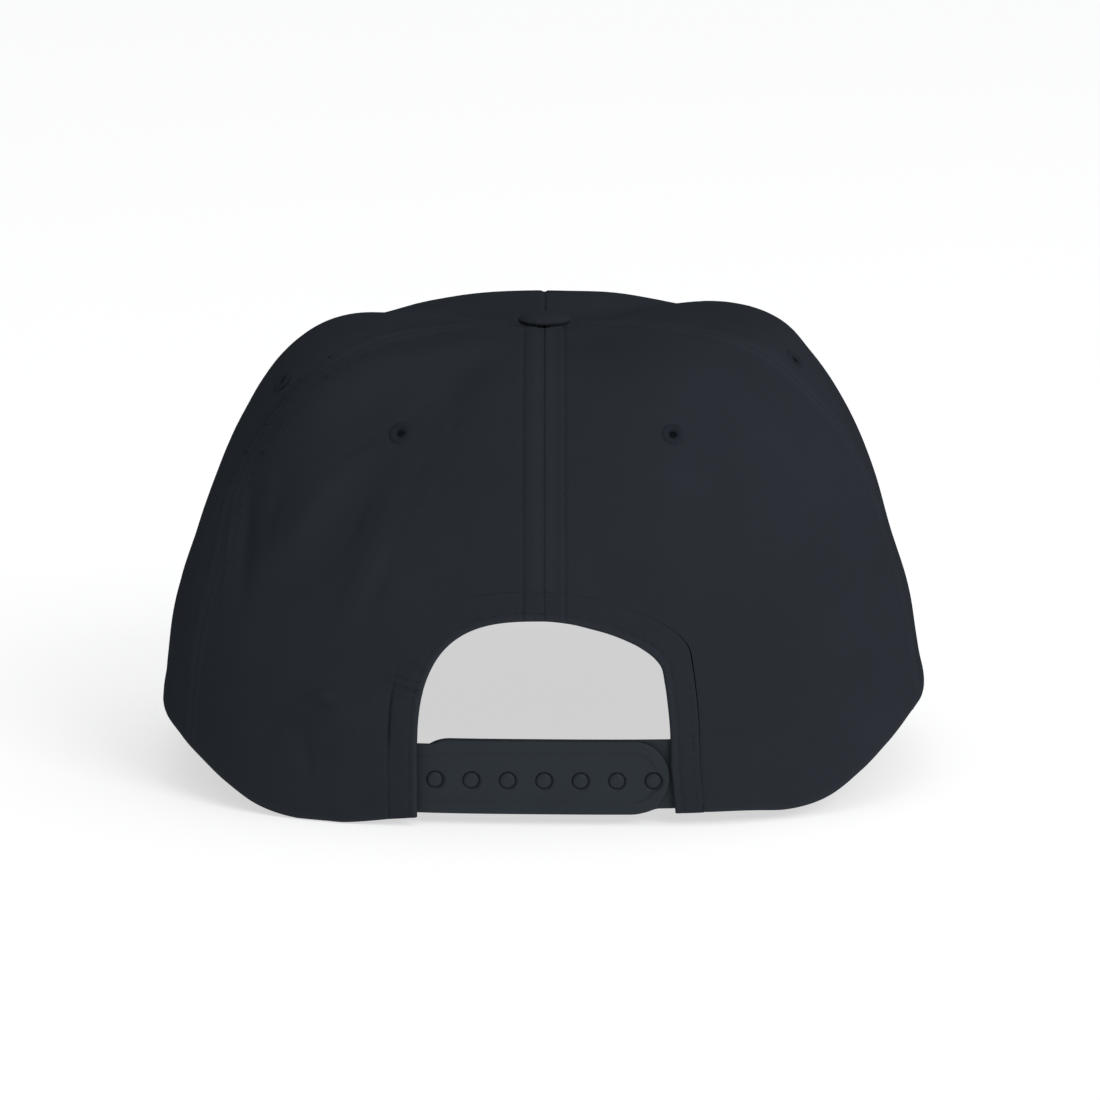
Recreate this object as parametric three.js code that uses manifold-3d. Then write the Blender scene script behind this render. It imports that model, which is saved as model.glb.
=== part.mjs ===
// Surf cap of five cloth panels and a curved peak, with a back opening that a snap strap closes.
// Millimetres, +Z up, +Y forwards over the peak, +X to the wearer's right. The origin lies on the floor
// under the middle of the cap, which stands on the back of its rim and on the two sides of its peak.

import * as THREE from 'three';
import { mergeVertices } from 'three/addons/utils/BufferGeometryUtils.js';
import Module from 'manifold-3d';

const wasm = await Module();
wasm.setup();

// Cloth and clearance
const CLOTH = 1.2;
const GAP = 0.3;

// Crown, measured on its outer face from the point of the floor under its button
const HALF_WIDTH = 98.5;
const BACK_REACH = 80;
const FRONT_REACH = 84;
const CROWN_HEIGHT = 111;
const FRONT_LIFT = 31;

// How far the deepest soft fold would leave the smooth form
const FOLD_HEIGHT = 3;

// Turned and stitched hem round the back opening
const OPENING_WIDTH = 62;
const OPENING_TOP = 50.5;
const OPENING_SHOULDER = 15;
const OPENING_ARCH_POWER = 3;
const OPENING_SPLAY = 1.5;
const HEM_WIDTH = 7;
const HEM_PROUD = 0.3;
const HEM_THICKNESS = 1.8;

// Snap strap
const STRAP_WIDTH = 18.5;
const STRAP_TAIL_WIDTH = 17.4;
const STRAP_THICKNESS = 1.2;
const STRAP_TAIL = 21;
const STRAP_TAIL_SHOWN = 2.8;
const STRAP_TAPER = 4.2;
const STRAP_LIFT = 2.6;
const STRAP_TUCK = 1.2;
const TAIL_CLEARANCE = 0.7;
const SNAP_PITCH = 8.9;
const SNAP_MARGIN = 4;
const SNAP_DROP = 0.8;
const SNAP_PEG_RADIUS = 1.8;
const SNAP_CLEARANCE = 0.6;

// Sweatband
const SWEATBAND_HEIGHT = 28;
const SWEATBAND_THICKNESS = 1.2;
const SWEATBAND_EASE = 12;

// Peak
const PEAK_REACH = 67;
const PEAK_DROP = 22;
const PEAK_THICKNESS = 3;
const PEAK_OVERHANG = 2.5;
const PEAK_CORNER_ANGLE = 118;
const PEAK_EDGE_POWER = 2.5;
const PEAK_REST_ANGLE = 50;
const PEAK_PRESS = 0.5;

// Covered button and stitched eyelets
const BUTTON_RADIUS = 6.6;
const BUTTON_HEIGHT = 2.6;
const BUTTON_SHANK_RADIUS = 1.6;
const BUTTON_SHANK_CLEARANCE = 1;
const BUTTON_HEAD_RADIUS = 3.4;
const BUTTON_HEAD_THICKNESS = 1.2;
const EYELET_RADIUS = 3.4;
const EYELET_HOLE_RADIUS = 1.2;
const EYELET_PROUD = 0.35;

// A table is a list of rows with named columns
function table(columns, ...rows) {
  return rows.map((row) => Object.fromEntries(columns.map((name, place) => [name, row[place]])));
}

// Crown's level sections from the rim, rise 0, to the button, rise 1. Widths are shares of HALF_WIDTH,
// reaches of BACK_REACH and FRONT_REACH, and heights of the way from the rim up to CROWN_HEIGHT.
// A squareness of 2 is an ellipse, and more is nearer a rectangle.
const SECTIONS = table(
  ['rise', 'left', 'right', 'back', 'front', 'leftHeight', 'rightHeight', 'backHeight', 'frontHeight',
    'backSquareness', 'frontSquareness'],
  [0.00, 0.994, 0.990, 1.000, 1.000, 0.000, 0.000, 0.000, 0.000, 2.9, 2.2],
  [0.12, 0.981, 0.972, 1.000, 0.995, 0.126, 0.126, 0.151, 0.131, 2.9, 2.2],
  [0.25, 0.960, 0.950, 0.985, 0.980, 0.268, 0.268, 0.313, 0.282, 2.8, 2.2],
  [0.38, 0.912, 0.905, 0.945, 0.950, 0.424, 0.424, 0.474, 0.444, 2.7, 2.2],
  [0.50, 0.858, 0.860, 0.880, 0.900, 0.586, 0.586, 0.636, 0.616, 2.6, 2.2],
  [0.62, 0.785, 0.793, 0.785, 0.820, 0.752, 0.758, 0.792, 0.778, 2.6, 2.2],
  [0.74, 0.690, 0.700, 0.640, 0.710, 0.899, 0.909, 0.914, 0.929, 2.6, 2.3],
  [0.83, 0.560, 0.600, 0.470, 0.570, 0.985, 1.010, 0.975, 1.012, 2.5, 2.3],
  [0.91, 0.380, 0.400, 0.280, 0.380, 1.015, 1.040, 1.000, 1.036, 2.2, 2.2],
  [1.00, 0.000, 0.000, 0.000, 0.000, 1.013, 1.013, 1.013, 1.013, 2.0, 2.0],
);

// Height of the rim over the floor, in shares of FRONT_LIFT, against degrees round from the centre back
const RIM = table(
  ['azimuth', 'left', 'right'],
  [0, 0.090, 0.097],
  [15, 0.085, 0.097],
  [24, 0.055, 0.100],
  [33, 0.000, 0.095],
  [40, 0.000, 0.075],
  [46, 0.060, 0.135],
  [52, 0.205, 0.300],
  [58, 0.355, 0.470],
  [65, 0.475, 0.615],
  [74, 0.530, 0.662],
  [88, 0.545, 0.665],
  [105, 0.600, 0.671],
  [125, 0.710, 0.730],
  [150, 0.910, 0.910],
  [168, 0.990, 0.990],
  [180, 1.000, 1.000],
);

// Seams of the crown, in degrees from the centre back, against the rise
const SEAMS = table(
  ['rise', 'backLeft', 'backRight', 'frontLeft', 'frontRight'],
  [0.00, 60.0, 70.0, 121, 121],
  [0.20, 60.5, 71.0, 121, 121],
  [0.38, 62.0, 72.5, 121, 121],
  [0.50, 65.0, 73.0, 121, 121],
  [0.60, 64.0, 70.0, 121, 121],
  [0.70, 61.5, 66.0, 121, 121],
  [0.80, 60.5, 62.5, 121, 121],
  [0.90, 62.0, 58.0, 121, 121],
  [1.00, 62.0, 56.0, 121, 121],
);

// Soft folds and dents. Lengths are shares of HALF_WIDTH, heights of FOLD_HEIGHT, and a turn of 0 degrees
// runs round the crown and 90 up it.
const FOLDS = table(
  ['azimuth', 'rise', 'halfLength', 'halfBreadth', 'turn', 'height'],
  // valleys in front of the front seams, and the swell of a side panel
  [-129, 0.92, 0.23, 0.14, 90, -1.05],
  [136, 0.91, 0.23, 0.12, 90, -0.95],
  [-100, 0.84, 0.16, 0.14, 90, 0.35],
  // the left seam's valley and the swell under it
  [-67, 0.70, 0.22, 0.05, 75, -0.35],
  [-54, 0.73, 0.26, 0.08, 60, 0.60],
  // tension folds of the left back panel
  [-25, 0.78, 0.18, 0.06, 88, -0.35],
  [-39, 0.53, 0.17, 0.055, 72, -0.50],
  [-49, 0.50, 0.15, 0.050, 74, 0.45],
  [-57, 0.46, 0.14, 0.030, 108, -0.38],
  [-33, 0.46, 0.15, 0.025, 75, 0.25],
  [-32, 0.28, 0.16, 0.060, -6, -0.40],
  // swell over the rim at the left
  [-36, 0.20, 0.08, 0.050, 0, 0.35],
  // the swell behind the right seam
  [57, 0.70, 0.20, 0.06, 95, 0.30],
);

// Stretch of the opening's arch from its even form, in degrees round from its right foot to its top. The
// right side slopes to a tighter corner than the left one, which is even.
const ARCH_FORM = table(
  ['turn', 'stretch'],
  [0, 0.000],
  [15, 0.000],
  [25, 0.016],
  [32, 0.034],
  [38, 0.024],
  [47, -0.003],
  [60, -0.031],
  [75, -0.035],
  [85, -0.014],
  [90, 0.000],
);

// Dome of the button, in shares of BUTTON_RADIUS and BUTTON_HEIGHT
const BUTTON_DOME = table(
  ['radius', 'height'],
  [0.93, 0.00],
  [1.00, 0.25],
  [0.93, 0.60],
  [0.65, 0.90],
  [0.00, 1.00],
);

// Where the eyelets sit on the crown
const EYELETS = table(
  ['name', 'azimuth', 'rise', 'panel'],
  ['eyelet_back_left', -32.8, 0.672, 'back_panel_left'],
  ['eyelet_back_right', 29.2, 0.664, 'back_panel_right'],
  ['eyelet_side_left', -71.5, 0.729, 'side_panel_left'],
  ['eyelet_side_right', 71.5, 0.766, 'side_panel_right'],
);

const CLOTH_FINISH = { color: 0x2a2e34, roughness: 0.85 };
const SWEATBAND_FINISH = { color: 0x24272c, roughness: 0.9 };
const THREAD_FINISH = { color: 0x21252b, roughness: 0.7 };
const STRAP_FINISH = { color: 0x2b3036, roughness: 0.45 };

// Steps of the faceted faces, across and along
const BACK_PANEL_STEPS = [16, 20];
const SIDE_PANEL_STEPS = [11, 16];
const FRONT_PANEL_STEPS = [24, 15];
const HEM_STEPS = [30, 18];
const SWEATBAND_STEPS = [56, 3];
const PEAK_STEPS = [30, 6];
const STRAP_STEPS = 14;
const STRAP_TAIL_STEPS = 5;
const STRAP_END_STEPS = 6;
const STRAP_END_ANGLE = 85;
const ARCH_STEPS = 28;
const ROUND_SIDES = 14;

const FULL_TURN = 360;
const AXIS = new THREE.Vector3(0, 1, 0);
const { degToRad, radToDeg, clamp, lerp } = THREE.MathUtils;

// The value of a column at a place between the rows of a table, on a smooth curve through the rows
function between(rows, key, place, column) {
  const last = rows.length - 1;
  let lower = rows.findIndex((row, number) => number < last && place < rows[number + 1][key]);
  if (lower < 0) {
    lower = last - 1;
  }
  const slope = (number) => {
    const before = rows[Math.max(number - 1, 0)];
    const after = rows[Math.min(number + 1, last)];
    return (after[column] - before[column]) / (after[key] - before[key]);
  };
  const from = rows[lower];
  const to = rows[lower + 1];
  const span = to[key] - from[key];
  const t = clamp((place - from[key]) / span, 0, 1);
  return (2 * t ** 3 - 3 * t ** 2 + 1) * from[column]
    + (t ** 3 - 2 * t ** 2 + t) * span * slope(lower)
    + (3 * t ** 2 - 2 * t ** 3) * to[column]
    + (t ** 3 - t ** 2) * span * slope(lower + 1);
}

// Degrees brought between -180 and 180
function wrapped(degrees) {
  return degrees - FULL_TURN * Math.round(degrees / FULL_TURN);
}

function onRight(azimuth) {
  return wrapped(azimuth) >= 0;
}

function inFront(azimuth) {
  return Math.cos(degToRad(azimuth)) < 0;
}

// Distance from the crown's axis in plan
function planRadius(azimuth, rise) {
  const column = (name) => between(SECTIONS, 'rise', rise, name);
  const across = HALF_WIDTH * column(onRight(azimuth) ? 'right' : 'left');
  const along = inFront(azimuth) ? FRONT_REACH * column('front') : BACK_REACH * column('back');
  const squareness = column(inFront(azimuth) ? 'frontSquareness' : 'backSquareness');
  const sine = Math.abs(Math.sin(degToRad(azimuth)));
  const cosine = Math.abs(Math.cos(degToRad(azimuth)));
  return ((sine / across) ** squareness + (cosine / along) ** squareness) ** (-1 / squareness);
}

// Height of the rim over the floor
function rimHeight(azimuth) {
  const column = onRight(azimuth) ? 'right' : 'left';
  return FRONT_LIFT * Math.max(between(RIM, 'azimuth', Math.abs(wrapped(azimuth)), column), 0);
}

// Point of the crown's outer face without its folds
function smoothCrown(azimuth, rise) {
  const column = (name) => between(SECTIONS, 'rise', rise, name);
  const sine = Math.sin(degToRad(azimuth));
  const cosine = Math.cos(degToRad(azimuth));
  const share = column(onRight(azimuth) ? 'rightHeight' : 'leftHeight') * sine ** 2
    + column(inFront(azimuth) ? 'frontHeight' : 'backHeight') * cosine ** 2;
  const radius = planRadius(azimuth, rise);
  const rim = rimHeight(azimuth);
  return new THREE.Vector3(radius * sine, -radius * cosine, lerp(rim, CROWN_HEIGHT, share));
}

// Direction out of the crown's face, level at the rim so that the rim's edge is cut level
const PROBE_ANGLE = 0.4;
const PROBE_SHARE = 0.004;
const HIGHEST_SHARE = 0.996;
const LEVEL_SHARE = 0.05;
function outward(azimuth, rise) {
  const level = Math.min(rise, HIGHEST_SHARE - PROBE_SHARE);
  const round = smoothCrown(azimuth + PROBE_ANGLE, level).sub(smoothCrown(azimuth - PROBE_ANGLE, level));
  const lower = smoothCrown(azimuth, Math.max(level - PROBE_SHARE, 0));
  const up = smoothCrown(azimuth, level + PROBE_SHARE).sub(lower);
  const direction = round.cross(up);
  direction.z *= Math.min(rise / LEVEL_SHARE, 1);
  return direction.normalize();
}

// Height of the folds over the smooth form. The crown's wall from rim to button is as long as HALF_WIDTH
// times CLOTH_RUN_SHARE.
const CLOTH_RUN_SHARE = 1.65;
function foldHeight(azimuth, rise) {
  const radiusShare = planRadius(azimuth, rise) / HALF_WIDTH;
  return FOLD_HEIGHT * FOLDS.reduce((total, fold) => {
    const round = degToRad(wrapped(azimuth - fold.azimuth)) * radiusShare;
    const up = (rise - fold.rise) * CLOTH_RUN_SHARE;
    const turn = degToRad(fold.turn);
    const lengthwise = (round * Math.cos(turn) + up * Math.sin(turn)) / fold.halfLength;
    const crosswise = (up * Math.cos(turn) - round * Math.sin(turn)) / fold.halfBreadth;
    return total + fold.height * Math.exp(-(lengthwise ** 2) - crosswise ** 2);
  }, 0);
}

// Point of the crown at a depth inside its outer face
function crown(azimuth, rise, depth = 0) {
  const offset = foldHeight(azimuth, rise) - depth;
  return smoothCrown(azimuth, rise).addScaledVector(outward(azimuth, rise), offset);
}

// Closed wall between two faces. place gives a point from its way across and along, each 0 to 1, and its
// side, 0 on the first face and 1 on the other.
function wall([stepsAcross, stepsAlong], place) {
  const points = [];
  const corners = [];
  const corner = (side, across, along) => (side * (stepsAlong + 1) + along) * (stepsAcross + 1) + across;
  const quad = (a, b, c, d) => corners.push(a, b, c, a, c, d);
  for (const side of [0, 1]) {
    for (let along = 0; along <= stepsAlong; along++) {
      for (let across = 0; across <= stepsAcross; across++) {
        points.push(...place(across / stepsAcross, along / stepsAlong, side).toArray());
      }
    }
  }
  for (let i = 0; i < stepsAcross; i++) {
    for (let j = 0; j < stepsAlong; j++) {
      quad(corner(0, i, j), corner(0, i + 1, j), corner(0, i + 1, j + 1), corner(0, i, j + 1));
      quad(corner(1, i, j), corner(1, i, j + 1), corner(1, i + 1, j + 1), corner(1, i + 1, j));
    }
    quad(corner(0, i, 0), corner(1, i, 0), corner(1, i + 1, 0), corner(0, i + 1, 0));
    const top = stepsAlong;
    quad(corner(0, i, top), corner(0, i + 1, top), corner(1, i + 1, top), corner(1, i, top));
  }
  for (let j = 0; j < stepsAlong; j++) {
    quad(corner(0, 0, j), corner(0, 0, j + 1), corner(1, 0, j + 1), corner(1, 0, j));
    const end = stepsAcross;
    quad(corner(0, end, j), corner(1, end, j), corner(1, end, j + 1), corner(0, end, j + 1));
  }
  const geometry = new THREE.BufferGeometry();
  geometry.setAttribute('position', new THREE.Float32BufferAttribute(points, 3));
  geometry.setIndex(corners);
  return geometry;
}

// Solid of a closed geometry, to cut and join
function solid(geometry) {
  const bare = geometry.clone();
  bare.deleteAttribute('normal');
  bare.deleteAttribute('uv');
  const merged = mergeVertices(bare);
  return new wasm.Manifold(new wasm.Mesh({
    numProp: 3,
    vertProperties: new Float32Array(merged.attributes.position.array),
    triVerts: new Uint32Array(merged.index.array),
  }));
}

function geometryOf(body) {
  const { vertProperties, triVerts } = body.getMesh();
  const geometry = new THREE.BufferGeometry();
  geometry.setAttribute('position', new THREE.BufferAttribute(vertProperties, 3));
  geometry.setIndex(new THREE.BufferAttribute(triVerts, 1));
  return geometry;
}

function piece(name, geometry, finish) {
  const material = new THREE.MeshStandardMaterial({ ...finish, metalness: 0, flatShading: true });
  const mesh = new THREE.Mesh(geometry, material);
  mesh.name = name;
  return mesh;
}

// Round rod from one point to another
function rod(radius, from, to) {
  const way = to.clone().sub(from);
  const geometry = new THREE.CylinderGeometry(radius, radius, way.length(), ROUND_SIDES);
  geometry.applyQuaternion(new THREE.Quaternion().setFromUnitVectors(AXIS, way.clone().normalize()));
  const middle = from.clone().add(to).multiplyScalar(1 / 2);
  return geometry.translate(middle.x, middle.y, middle.z);
}

// Back opening as a prism from the crown's axis out past the back, larger than the opening by a margin.
// Below its shoulder the right side splays out, by OPENING_SPLAY at the floor.
function openingPrism(margin) {
  const halfWidth = OPENING_WIDTH / 2 + margin;
  const archHeight = OPENING_TOP + margin - OPENING_SHOULDER;
  const power = 2 / OPENING_ARCH_POWER;
  const outline = new THREE.Shape();
  outline.moveTo(-halfWidth, -OPENING_SHOULDER);
  outline.lineTo(halfWidth + 2 * OPENING_SPLAY, -OPENING_SHOULDER);
  for (let step = 0; step <= ARCH_STEPS; step++) {
    const angle = Math.PI * step / ARCH_STEPS;
    const cosine = Math.cos(angle);
    const stretch = 1 + (cosine > 0 ? between(ARCH_FORM, 'turn', radToDeg(angle), 'stretch') : 0);
    const x = halfWidth * Math.sign(cosine) * Math.abs(cosine) ** power;
    const z = archHeight * Math.sin(angle) ** power;
    outline.lineTo(x * stretch, OPENING_SHOULDER + z * stretch);
  }
  const depth = 2 * BACK_REACH;
  const geometry = new THREE.ExtrudeGeometry(outline, { depth, bevelEnabled: false });
  return solid(geometry.rotateX(Math.PI / 2));
}

// Hole for an eyelet, square to the crown's face
function eyeletHole({ azimuth, rise }) {
  const depth = EYELET_RADIUS;
  return solid(rod(EYELET_RADIUS + GAP, crown(azimuth, rise, depth), crown(azimuth, rise, -depth)));
}

// Rise at which the crown's plan radius has shrunk to a given one
const HALVINGS = 20;
function riseOfRadius(azimuth, radius) {
  let low = 0;
  let high = 1;
  for (let halving = 0; halving < HALVINGS; halving++) {
    const middle = (low + high) / 2;
    if (planRadius(azimuth, middle) > radius) {
      low = middle;
    } else {
      high = middle;
    }
  }
  return low;
}

// Cloth panel between two seams, up to the hole for the button's shank. from and to give a seam's azimuth
// at a rise, growing anticlockwise.
function panel(grid, from, to) {
  return wall(grid, (across, along, side) => {
    const topAzimuth = lerp(from(1), to(1), across);
    const rise = along * riseOfRadius(topAzimuth, BUTTON_SHANK_RADIUS + BUTTON_SHANK_CLEARANCE);
    const azimuth = lerp(from(rise), to(rise), across);
    const seamGap = radToDeg(Math.asin(GAP / 2 / planRadius(azimuth, rise)));
    return crown(azimuth + lerp(seamGap, -seamGap, across), rise, side * CLOTH);
  });
}

function seam(column, sign, turn = 0) {
  return (rise) => turn + sign * between(SEAMS, 'rise', rise, column);
}

function crownPanels() {
  const centreBack = () => 0;
  const opening = openingPrism(HEM_WIDTH + GAP);
  const shapes = {
    front_panel: panel(FRONT_PANEL_STEPS, seam('frontRight', 1), seam('frontLeft', -1, FULL_TURN)),
    side_panel_left: panel(SIDE_PANEL_STEPS, seam('frontLeft', -1), seam('backLeft', -1)),
    side_panel_right: panel(SIDE_PANEL_STEPS, seam('backRight', 1), seam('frontRight', 1)),
    back_panel_left: panel(BACK_PANEL_STEPS, seam('backLeft', -1), centreBack),
    back_panel_right: panel(BACK_PANEL_STEPS, centreBack, seam('backRight', 1)),
  };
  return Object.entries(shapes).map(([name, geometry]) => {
    let body = solid(geometry);
    if (name.startsWith('back')) {
      body = body.subtract(opening);
    }
    for (const eyelet of EYELETS.filter((row) => row.panel === name)) {
      body = body.subtract(eyeletHole(eyelet));
    }
    return piece(name, geometryOf(body), CLOTH_FINISH);
  });
}

// Hem round the back opening, a little proud of the cloth on both faces, cut from a wider band of the crown
const HEM_BAND_ANGLE = 60;
const HEM_BAND_SHARE = 0.7;
function openingHem() {
  const band = wall(HEM_STEPS, (across, along, side) => {
    const azimuth = lerp(-HEM_BAND_ANGLE, HEM_BAND_ANGLE, across);
    return smoothCrown(azimuth, along * HEM_BAND_SHARE)
      .addScaledVector(outward(azimuth, along * HEM_BAND_SHARE), HEM_PROUD - side * HEM_THICKNESS);
  });
  const body = solid(band).intersect(openingPrism(HEM_WIDTH)).subtract(openingPrism(0));
  return piece('opening_hem', geometryOf(body), CLOTH_FINISH);
}

// Depths of the layers inside the hem: the strap tails lie behind it, and the sweatband covers them
const TAIL_DEPTH = Math.max(HEM_THICKNESS - HEM_PROUD, CLOTH) + TAIL_CLEARANCE;
const STRAP_STEP = STRAP_THICKNESS + GAP;
const COVER_DEPTH = TAIL_DEPTH + STRAP_STEP;
const HALF_OPENING = OPENING_WIDTH / 2;

// Plan line of the crown at its back, as the reach behind its axis
function backReach(x) {
  const { left, right, backSquareness } = SECTIONS[0];
  const share = Math.abs(x) / (HALF_WIDTH * (x < 0 ? left : right));
  return BACK_REACH * (1 - share ** backSquareness) ** (1 / backSquareness);
}

// The outer strap leaves the left tab behind the hem and comes out level with the hem at its round end.
// The inner strap lies one step inside it and goes behind the hem of the right tab.
function strapY(x, layer) {
  const way = clamp((x + HALF_OPENING) / OPENING_WIDTH, 0, 1);
  return -backReach(x) + lerp(TAIL_DEPTH, GAP, way) + layer * STRAP_STEP;
}

// Strap along x from its tail to its round end. Its tail is narrower by a step in the outer strap's upper
// edge and in the inner strap's lower one.
function strap(tailX, endX, layer) {
  const sign = Math.sign(endX - tailX);
  const radius = STRAP_WIDTH / 2;
  const middle = STRAP_LIFT + radius;
  const straight = endX - sign * radius;
  const taper = STRAP_TAIL_SHOWN - HALF_OPENING;
  const stations = [];
  for (let step = 0; step <= STRAP_TAIL_STEPS; step++) {
    stations.push(lerp(tailX, sign * taper, step / STRAP_TAIL_STEPS));
  }
  for (let step = 0; step <= STRAP_STEPS; step++) {
    stations.push(lerp(sign * (taper + STRAP_TAPER), straight, step / STRAP_STEPS));
  }
  for (let step = 1; step <= STRAP_END_STEPS; step++) {
    const angle = degToRad(STRAP_END_ANGLE) * step / STRAP_END_STEPS;
    stations.push(straight + sign * radius * Math.sin(angle));
  }
  const steppedSide = layer ? -1 : 1;
  const halfHeight = (x, side) => {
    const past = Math.max(sign * (x - straight), 0);
    const widened = clamp((sign * x - taper) / STRAP_TAPER, 0, 1);
    const narrowed = side === steppedSide ? (STRAP_WIDTH - STRAP_TAIL_WIDTH) * (1 - widened) : 0;
    return Math.min(Math.sqrt(radius ** 2 - past ** 2), radius - narrowed);
  };
  const ordered = stations.sort((a, b) => a - b);
  const count = ordered.length - 1;
  return wall([count, 1], (across, along, side) => {
    const x = ordered[Math.round(across * count)];
    const edge = lerp(-1, 1, along);
    const z = middle + edge * halfHeight(x, edge);
    return new THREE.Vector3(x, strapY(x, layer) + side * STRAP_THICKNESS, z);
  });
}

// As many snaps as fit the opening at their pitch
function straps() {
  const end = HALF_OPENING - GAP;
  const tail = HALF_OPENING + STRAP_TAIL;
  const lastSnap = Math.floor((OPENING_WIDTH - 2 * SNAP_MARGIN) / SNAP_PITCH);
  let outer = solid(strap(-tail, end, 0));
  let inner = solid(strap(tail, -HALF_OPENING - STRAP_TUCK, 1));
  for (let snap = 0; snap <= lastSnap; snap++) {
    const x = (snap - lastSnap / 2) * SNAP_PITCH;
    const z = STRAP_LIFT + STRAP_WIDTH / 2 - SNAP_DROP;
    const face = new THREE.Vector3(x, strapY(x, 0), z);
    const root = new THREE.Vector3(x, strapY(x, 1) + STRAP_THICKNESS / 2, z);
    const outside = face.clone().setY(face.y - STRAP_THICKNESS);
    const inside = face.clone().setY(face.y + 2 * STRAP_THICKNESS);
    outer = outer.subtract(solid(rod(SNAP_PEG_RADIUS + SNAP_CLEARANCE, inside, outside)));
    inner = inner.add(solid(rod(SNAP_PEG_RADIUS, root, face)));
  }
  return [
    piece('strap_outer', geometryOf(outer), STRAP_FINISH),
    piece('strap_inner', geometryOf(inner), STRAP_FINISH),
  ];
}

// Sweatband from one tab round the front to the other, deeper where it covers the strap tails
function sweatband() {
  const start = radToDeg(Math.atan2(HALF_OPENING + HEM_WIDTH, BACK_REACH));
  const tailEnd = HALF_OPENING + STRAP_TAIL + STRAP_TAPER;
  const geometry = wall(SWEATBAND_STEPS, (across, along, side) => {
    const azimuth = lerp(start, FULL_TURN - start, across);
    const place = smoothCrown(azimuth, 0);
    const pastTail = inFront(azimuth) ? 1 : (Math.abs(place.x) - tailEnd) / SWEATBAND_EASE;
    const depth = lerp(COVER_DEPTH, CLOTH + GAP, clamp(pastTail, 0, 1));
    const rise = lerp(GAP, SWEATBAND_HEIGHT, along) / CROWN_HEIGHT;
    return crown(azimuth, rise, depth + side * SWEATBAND_THICKNESS);
  });
  return piece('sweatband', geometry, SWEATBAND_FINISH);
}

// Edge of the peak in plan, from -90 degrees at its left corner to 90 at its right
const PEAK_ROOT = smoothCrown(PEAK_CORNER_ANGLE, 0);
const PEAK_HALF_WIDTH = PEAK_ROOT.x + PEAK_OVERHANG;
function peakEdge(angle) {
  const power = 2 / PEAK_EDGE_POWER;
  const sine = Math.sin(degToRad(angle));
  const x = PEAK_HALF_WIDTH * Math.sign(sine) * Math.abs(sine) ** power;
  const share = Math.abs(Math.cos(degToRad(angle))) ** power;
  return new THREE.Vector2(x, lerp(PEAK_ROOT.y, FRONT_REACH + PEAK_REACH, share));
}

// Height of the peak's top along its middle
function peakFall(y) {
  return FRONT_LIFT - GAP - PEAK_DROP * (y - FRONT_REACH) / PEAK_REACH;
}

// The peak arches down to both sides, so far that they meet the floor where it rests
const PEAK_REST = peakEdge(PEAK_REST_ANGLE);
const PEAK_ARCH = (peakFall(PEAK_REST.y) - PEAK_THICKNESS + PEAK_PRESS)
  / (PEAK_REST.x / PEAK_HALF_WIDTH) ** 2;

function peak() {
  const geometry = wall(PEAK_STEPS, (across, along, side) => {
    const azimuth = lerp(FULL_TURN - PEAK_CORNER_ANGLE, PEAK_CORNER_ANGLE, across);
    const root = crown(azimuth, 0, CLOTH);
    root.z -= GAP;
    const plan = peakEdge(lerp(-90, 90, across));
    const arched = peakFall(plan.y) - PEAK_ARCH * (plan.x / PEAK_HALF_WIDTH) ** 2;
    const edge = new THREE.Vector3(plan.x, plan.y, Math.max(arched, PEAK_THICKNESS));
    const point = root.lerp(edge, along);
    point.z -= side * PEAK_THICKNESS;
    return point;
  });
  return piece('peak', geometry, CLOTH_FINISH);
}

// Heights of the crown's face at a depth, on rings round its centre
const RING_PROBES = 24;
function heightsNearCentre(radii, depth) {
  return radii.flatMap((radius) => Array.from({ length: RING_PROBES }, (_, probe) => {
    const azimuth = FULL_TURN * probe / RING_PROBES;
    return crown(azimuth, riseOfRadius(azimuth, radius), depth).z;
  }));
}

// Covered button whose shank goes down through the crown's centre hole, with a small head inside
function button() {
  const hole = BUTTON_SHANK_RADIUS + BUTTON_SHANK_CLEARANCE;
  const bottom = Math.max(...heightsNearCentre([hole, BUTTON_RADIUS / 2, BUTTON_RADIUS], 0)) + GAP;
  const inside = Math.min(...heightsNearCentre([hole, BUTTON_HEAD_RADIUS], CLOTH)) - GAP;
  const profile = [
    [0, inside - BUTTON_HEAD_THICKNESS],
    [BUTTON_HEAD_RADIUS, inside - BUTTON_HEAD_THICKNESS],
    [BUTTON_HEAD_RADIUS, inside],
    [BUTTON_SHANK_RADIUS, inside],
    [BUTTON_SHANK_RADIUS, bottom],
    ...BUTTON_DOME.map(({ radius, height }) => [radius * BUTTON_RADIUS, bottom + height * BUTTON_HEIGHT]),
  ].map(([radius, height]) => new THREE.Vector2(radius, height));
  const geometry = new THREE.LatheGeometry(profile, 2 * ROUND_SIDES);
  geometry.rotateX(Math.PI / 2);
  return piece('button', geometryOf(solid(geometry)), CLOTH_FINISH);
}

// Stitched ring that lines a hole in the cloth
function eyelet({ name, azimuth, rise }) {
  const inner = -CLOTH - EYELET_PROUD;
  const edge = EYELET_RADIUS - EYELET_PROUD;
  const profile = [
    [EYELET_HOLE_RADIUS, inner],
    [edge, inner],
    [EYELET_RADIUS, inner + EYELET_PROUD],
    [EYELET_RADIUS, 0],
    [edge, EYELET_PROUD],
    [EYELET_HOLE_RADIUS, EYELET_PROUD],
    [EYELET_HOLE_RADIUS, inner],
  ].map(([radius, height]) => new THREE.Vector2(radius, height));
  const mesh = piece(name, geometryOf(solid(new THREE.LatheGeometry(profile, ROUND_SIDES))), THREAD_FINISH);
  mesh.position.copy(crown(azimuth, rise));
  mesh.quaternion.setFromUnitVectors(AXIS, outward(azimuth, rise));
  return mesh;
}

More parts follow.
